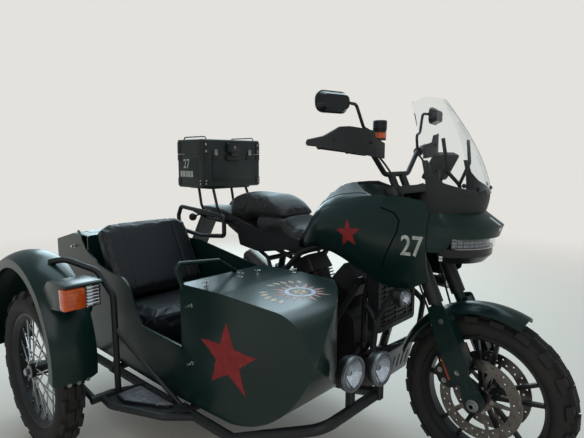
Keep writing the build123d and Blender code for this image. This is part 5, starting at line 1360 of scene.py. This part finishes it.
def chain_place(travel):
    """A place on the chain's run in millimetres round both sprockets, and the run's direction."""
    # the sprockets' radii to the chain's pins and their middles, ahead of the rear axle and up
    large, small, rear, front = 110.5, 43.5, Vector((0, 322)), Vector((604, 438))
    # half the angle between the chain's two straight parts
    taper = radians(6.25)
    line = front - rear
    slope = line.angle_signed(Vector((1, 0)))
    spread = pi / 2 - taper
    straight = (line.length ** 2 - (large - small) ** 2) ** 0.5
    # sprocket's middle and radius, the angle a part starts at, its length, and if it is straight
    parts = ((rear, large, slope + spread, straight, True),
             (front, small, slope + spread, 2 * spread * small, False),
             (front, small, slope - spread, straight, True),
             (rear, large, slope - spread, 2 * (pi - spread) * large, False))
    travel %= sum(part[3] for part in parts)
    for middle, radius, angle, length, is_straight in parts:
        if travel < length:
            break
        travel -= length
    if not is_straight:
        angle -= travel / radius
        travel = 0
    tangent = Vector((sin(angle), -cos(angle)))
    return middle + Vector((cos(angle), sin(angle))) * radius + tangent * travel, tangent


class OUTFIT_OT_drive(OutfitMaker, bpy.types.Operator):
    """Bolt the engine's covers and lay the chain's plates"""

    bl_idname = "outfit.drive"
    bl_label = "Drive"

    def engine_covers(self):
        """The bolts round the engine's covers and a cap in the middle of each."""
        # hand, place ahead, height, bolt circle's radius, number of bolts
        covers = ((-1, 858, 455, 77, 8), (-1, 700, 470, 56, 6), (1, 868, 455, 69, 8))
        drops = []
        for hand, x, z, ring, count in covers:
            for index in range(count):
                turn = 2 * pi * index / count + 0.2
                drops.append((at(x + ring * cos(turn), hand * 260, z + ring * sin(turn)), RIGHT * hand))
        set_bolts("engine_bolts", ("engine",), drops, 5.0)
        tree = surface_of("engine")
        caps = bmesh.new()
        for hand, x, z, _, _ in covers:
            hit, _ = landing(tree, at(x, hand * 260, z), RIGHT * hand, "engine cap")
            add_turned(caps, hit, LEFT * hand, ((24, -1), (24, 2), (20, 5), (0, 5)), 36)
        new_piece("engine_caps", caps, "alloy", "chassis")

    def chain_plates(self):
        """The chain's pins and side plates; outer and inner plates take turns."""
        links, pitch, middle_y, half_pin = 108, 15.9, 98, 9.6
        plates = bmesh.new()
        for index in range(links):
            place, tangent = chain_place(pitch * index)
            angle = tangent.angle_signed(Vector((1, 0)))
            for offset in (-8.6, 8.6) if index % 2 else (-7.6, 7.6):
                matrix = Matrix.Translation(at(place.x, middle_y + offset, place.y)) @ \
                    Matrix.Rotation(-angle, 4, "Y") @ Matrix.Rotation(pi / 2, 4, "X")
                add_outline(plates, matrix, rounded(25, 13, 6.2, 3), 1.4)
            add_rod(plates, at(place.x, middle_y - half_pin, place.y),
                    at(place.x, middle_y + half_pin, place.y), 2.6, 8)
        new_piece("chain_plates", plates, "zinc", "chassis")

    def execute(self, context):
        self.engine_covers()
        self.chain_plates()
        peg_y = 146
        for (hand, side), length in zip(SIDES, (55, 112)):
            turned_piece("peg_rubber_" + side, at(650, hand * peg_y, 330), LEFT * hand,
                         ribbed(0.0, length, 9.0, 15.2, 17.2, 1, 7), "rubber", "chassis", 24, 60)
        return {"FINISHED"}


class OUTFIT_OT_sidecar_trim(OutfitMaker, bpy.types.Operator):
    """Lace the sidecar's wheel and fit the step plate, clamps and small bolts"""

    bl_idname = "outfit.sidecar_trim"
    bl_label = "Sidecar trim"

    def wheel(self):
        """Bright spokes with their nipples at the rim, the hub's caps and the axle's nut."""
        count, cross = 36, radians(26)
        hub_radius, hub_y, rim_radius, rim_y = 39, 34, 230, 6
        spokes = bmesh.new()
        nipples = bmesh.new()
        for index in range(count):
            hand = 1 if index % 2 else -1
            rim_turn = 2 * pi / count * index
            hub_turn = rim_turn + (cross if index % 4 < 2 else -cross)
            foot = CAR_AXLE + MM * Vector((hub_radius * cos(hub_turn), hand * hub_y,
                                           hub_radius * sin(hub_turn)))
            tip = CAR_AXLE + MM * Vector((rim_radius * cos(rim_turn), hand * rim_y,
                                          rim_radius * sin(rim_turn)))
            add_rod(spokes, foot, tip, 3.1, 10)
            add_rod(nipples, tip.lerp(foot, 0.09), tip, 4.4, 8)
        new_piece("car_spokes", spokes, "chrome", "sidecar_wheel")
        new_piece("car_spoke_nipples", nipples, "zinc", "sidecar_wheel")
        caps = bmesh.new()
        for hand in (-1, 1):
            add_turned(caps, CAR_AXLE + LEFT * hand * 48 * MM, LEFT * hand,
                       ((12.5, -1), (29, -1), (29, 2), (24, 5), (12.5, 5)), 40)
        new_piece("car_hub_caps", caps, "alloy", "sidecar_wheel")
        turned_piece("car_axle_nut", CAR_AXLE + RIGHT * 66 * MM, RIGHT,
                     ((0, 4), (11, 4), (17, 1), (17, -9), (12, -9)), "zinc", steps=6)

    def step_plate(self):
        """The step's plate with rows of round grips, as far as they fit on it."""
        bm = bmesh.new()
        add_outline(bm, Matrix.Translation(at(0, 0, 298.5)),
                    ((688, -851), (668, -878), (517, -960), (452, -954), (452, -856)), 3.0)
        for row in range(6):
            for column in range(4):
                x, out = 478 + 34 * row, 22 * column
                if out < 62 - 0.32 * max(0, x - 540):
                    add_rod(bm, at(x, -872 - out, 301), at(x, -872 - out, 303), 6.0, 14)
        new_piece("step_plate", bm, "plate", "chassis")

    def fender(self):
        """The fender's bolts and the bent ends of its two stays."""
        set_bolts("fender_front_bolts", ("sidecar_fender",),
                  [(at(700, y, 402), BACK) for y in (-1140, -1106, -1068)], 5.5, hexagon=False)
        set_bolts("fender_top_bolts", ("sidecar_fender",),
                  [(at(x, -1052, 1100), -UP) for x in (-40, 190)], 6.0, hexagon=False)
        bent_rod("fender_stay_front",
                 [at(322, -968, 803), at(290, -1005, 824), at(252, -1046, 848), at(226, -1078, 846),
                  at(206, -1098, 838)], 12.8, "tube_black", "chassis")
        bent_rod("fender_stay_rear",
                 [at(-108, -972, 650), at(-98, -986, 690), at(-82, -1010, 750), at(-72, -1024, 792)],
                 11.8, "tube_black", "chassis")

    def clamps(self):
        """The clamps on the sidecar's frame, and the bolts of those beside the motorcycle."""
        near = ((1000, -196), (430, -196), (820, -196), (250, -196))
        far = ((120, -800), (700, -800))
        clamps = bmesh.new()
        for x, y in near + far:
            add_turned(clamps, at(x, y, 258), AHEAD, ((19, -16), (23.5, -16), (23.5, 16), (19, 16)), 28)
            add_block(clamps, at(x, y, 284), (24, 12, 12), 2)
        new_piece("frame_clamps", clamps, "tube_black", "chassis")
        bolts = bmesh.new()
        for x, y in near:
            add_bolt(bolts, at(x, y - 6, 284), RIGHT, 5.0)
        new_piece("clamp_bolts", bolts, "zinc", "chassis")

    def boot_lock(self):
        """The lock on the boot's lid with its turned handle."""
        hit, normal = landing(surface_of("sidecar_boot_lid"), at(-462, -501, 1100), -UP, "boot lock")
        bm = bmesh.new()
        add_turned(bm, hit, normal, ((20, -1), (20, 2), (17, 4), (0, 4.5)), 36)
        add_block(bm, facing(hit + normal * 8 * MM, normal, 0.2), (30, 7, 9), 2)
        new_piece("boot_lock", bm, "chrome", "boot_lid")

    def execute(self, context):
        self.wheel()
        self.step_plate()
        self.fender()
        self.clamps()
        self.boot_lock()
        return {"FINISHED"}


CLASSES = (
    OutfitColours,
    OutfitSizes,
    OUTFIT_OT_stage,
    OUTFIT_OT_finishes,
    OUTFIT_OT_sidecar_seat,
    OUTFIT_OT_motorcycle_seats,
    OUTFIT_OT_painted_marks,
    OUTFIT_OT_cowl_ornament,
    OUTFIT_OT_cover_studs,
    OUTFIT_OT_lamps,
    OUTFIT_OT_tank_trim,
    OUTFIT_OT_controls,
    OUTFIT_OT_front_end,
    OUTFIT_OT_luggage,
    OUTFIT_OT_drive,
    OUTFIT_OT_sidecar_trim,
)
OPERATORS = [made for made in CLASSES if issubclass(made, bpy.types.Operator)]


class OUTFIT_PT_sidebar(bpy.types.Panel):
    """The outfit's panel in the 3D view's sidebar"""

    bl_label = "Sidecar outfit"
    bl_idname = "OUTFIT_PT_sidebar"
    bl_space_type = "VIEW_3D"
    bl_region_type = "UI"
    bl_category = "Sidecar outfit"

    def draw(self, context):
        for group in (context.scene.outfit_colours, context.scene.outfit_sizes):
            for name in group.__annotations__:
                self.layout.prop(group, name)
        for made in OPERATORS:
            self.layout.operator(made.bl_idname)


def register():
    for made in CLASSES + (OUTFIT_PT_sidebar,):
        bpy.utils.register_class(made)
    bpy.types.Scene.outfit_colours = bpy.props.PointerProperty(type=OutfitColours)
    bpy.types.Scene.outfit_sizes = bpy.props.PointerProperty(type=OutfitSizes)


def unregister():
    del bpy.types.Scene.outfit_sizes
    del bpy.types.Scene.outfit_colours
    for made in reversed(CLASSES + (OUTFIT_PT_sidebar,)):
        bpy.utils.unregister_class(made)


def main():
    register()
    for made in OPERATORS:
        group, name = made.bl_idname.split(".")
        getattr(getattr(bpy.ops, group), name)()


if __name__ == "__main__":
    main()
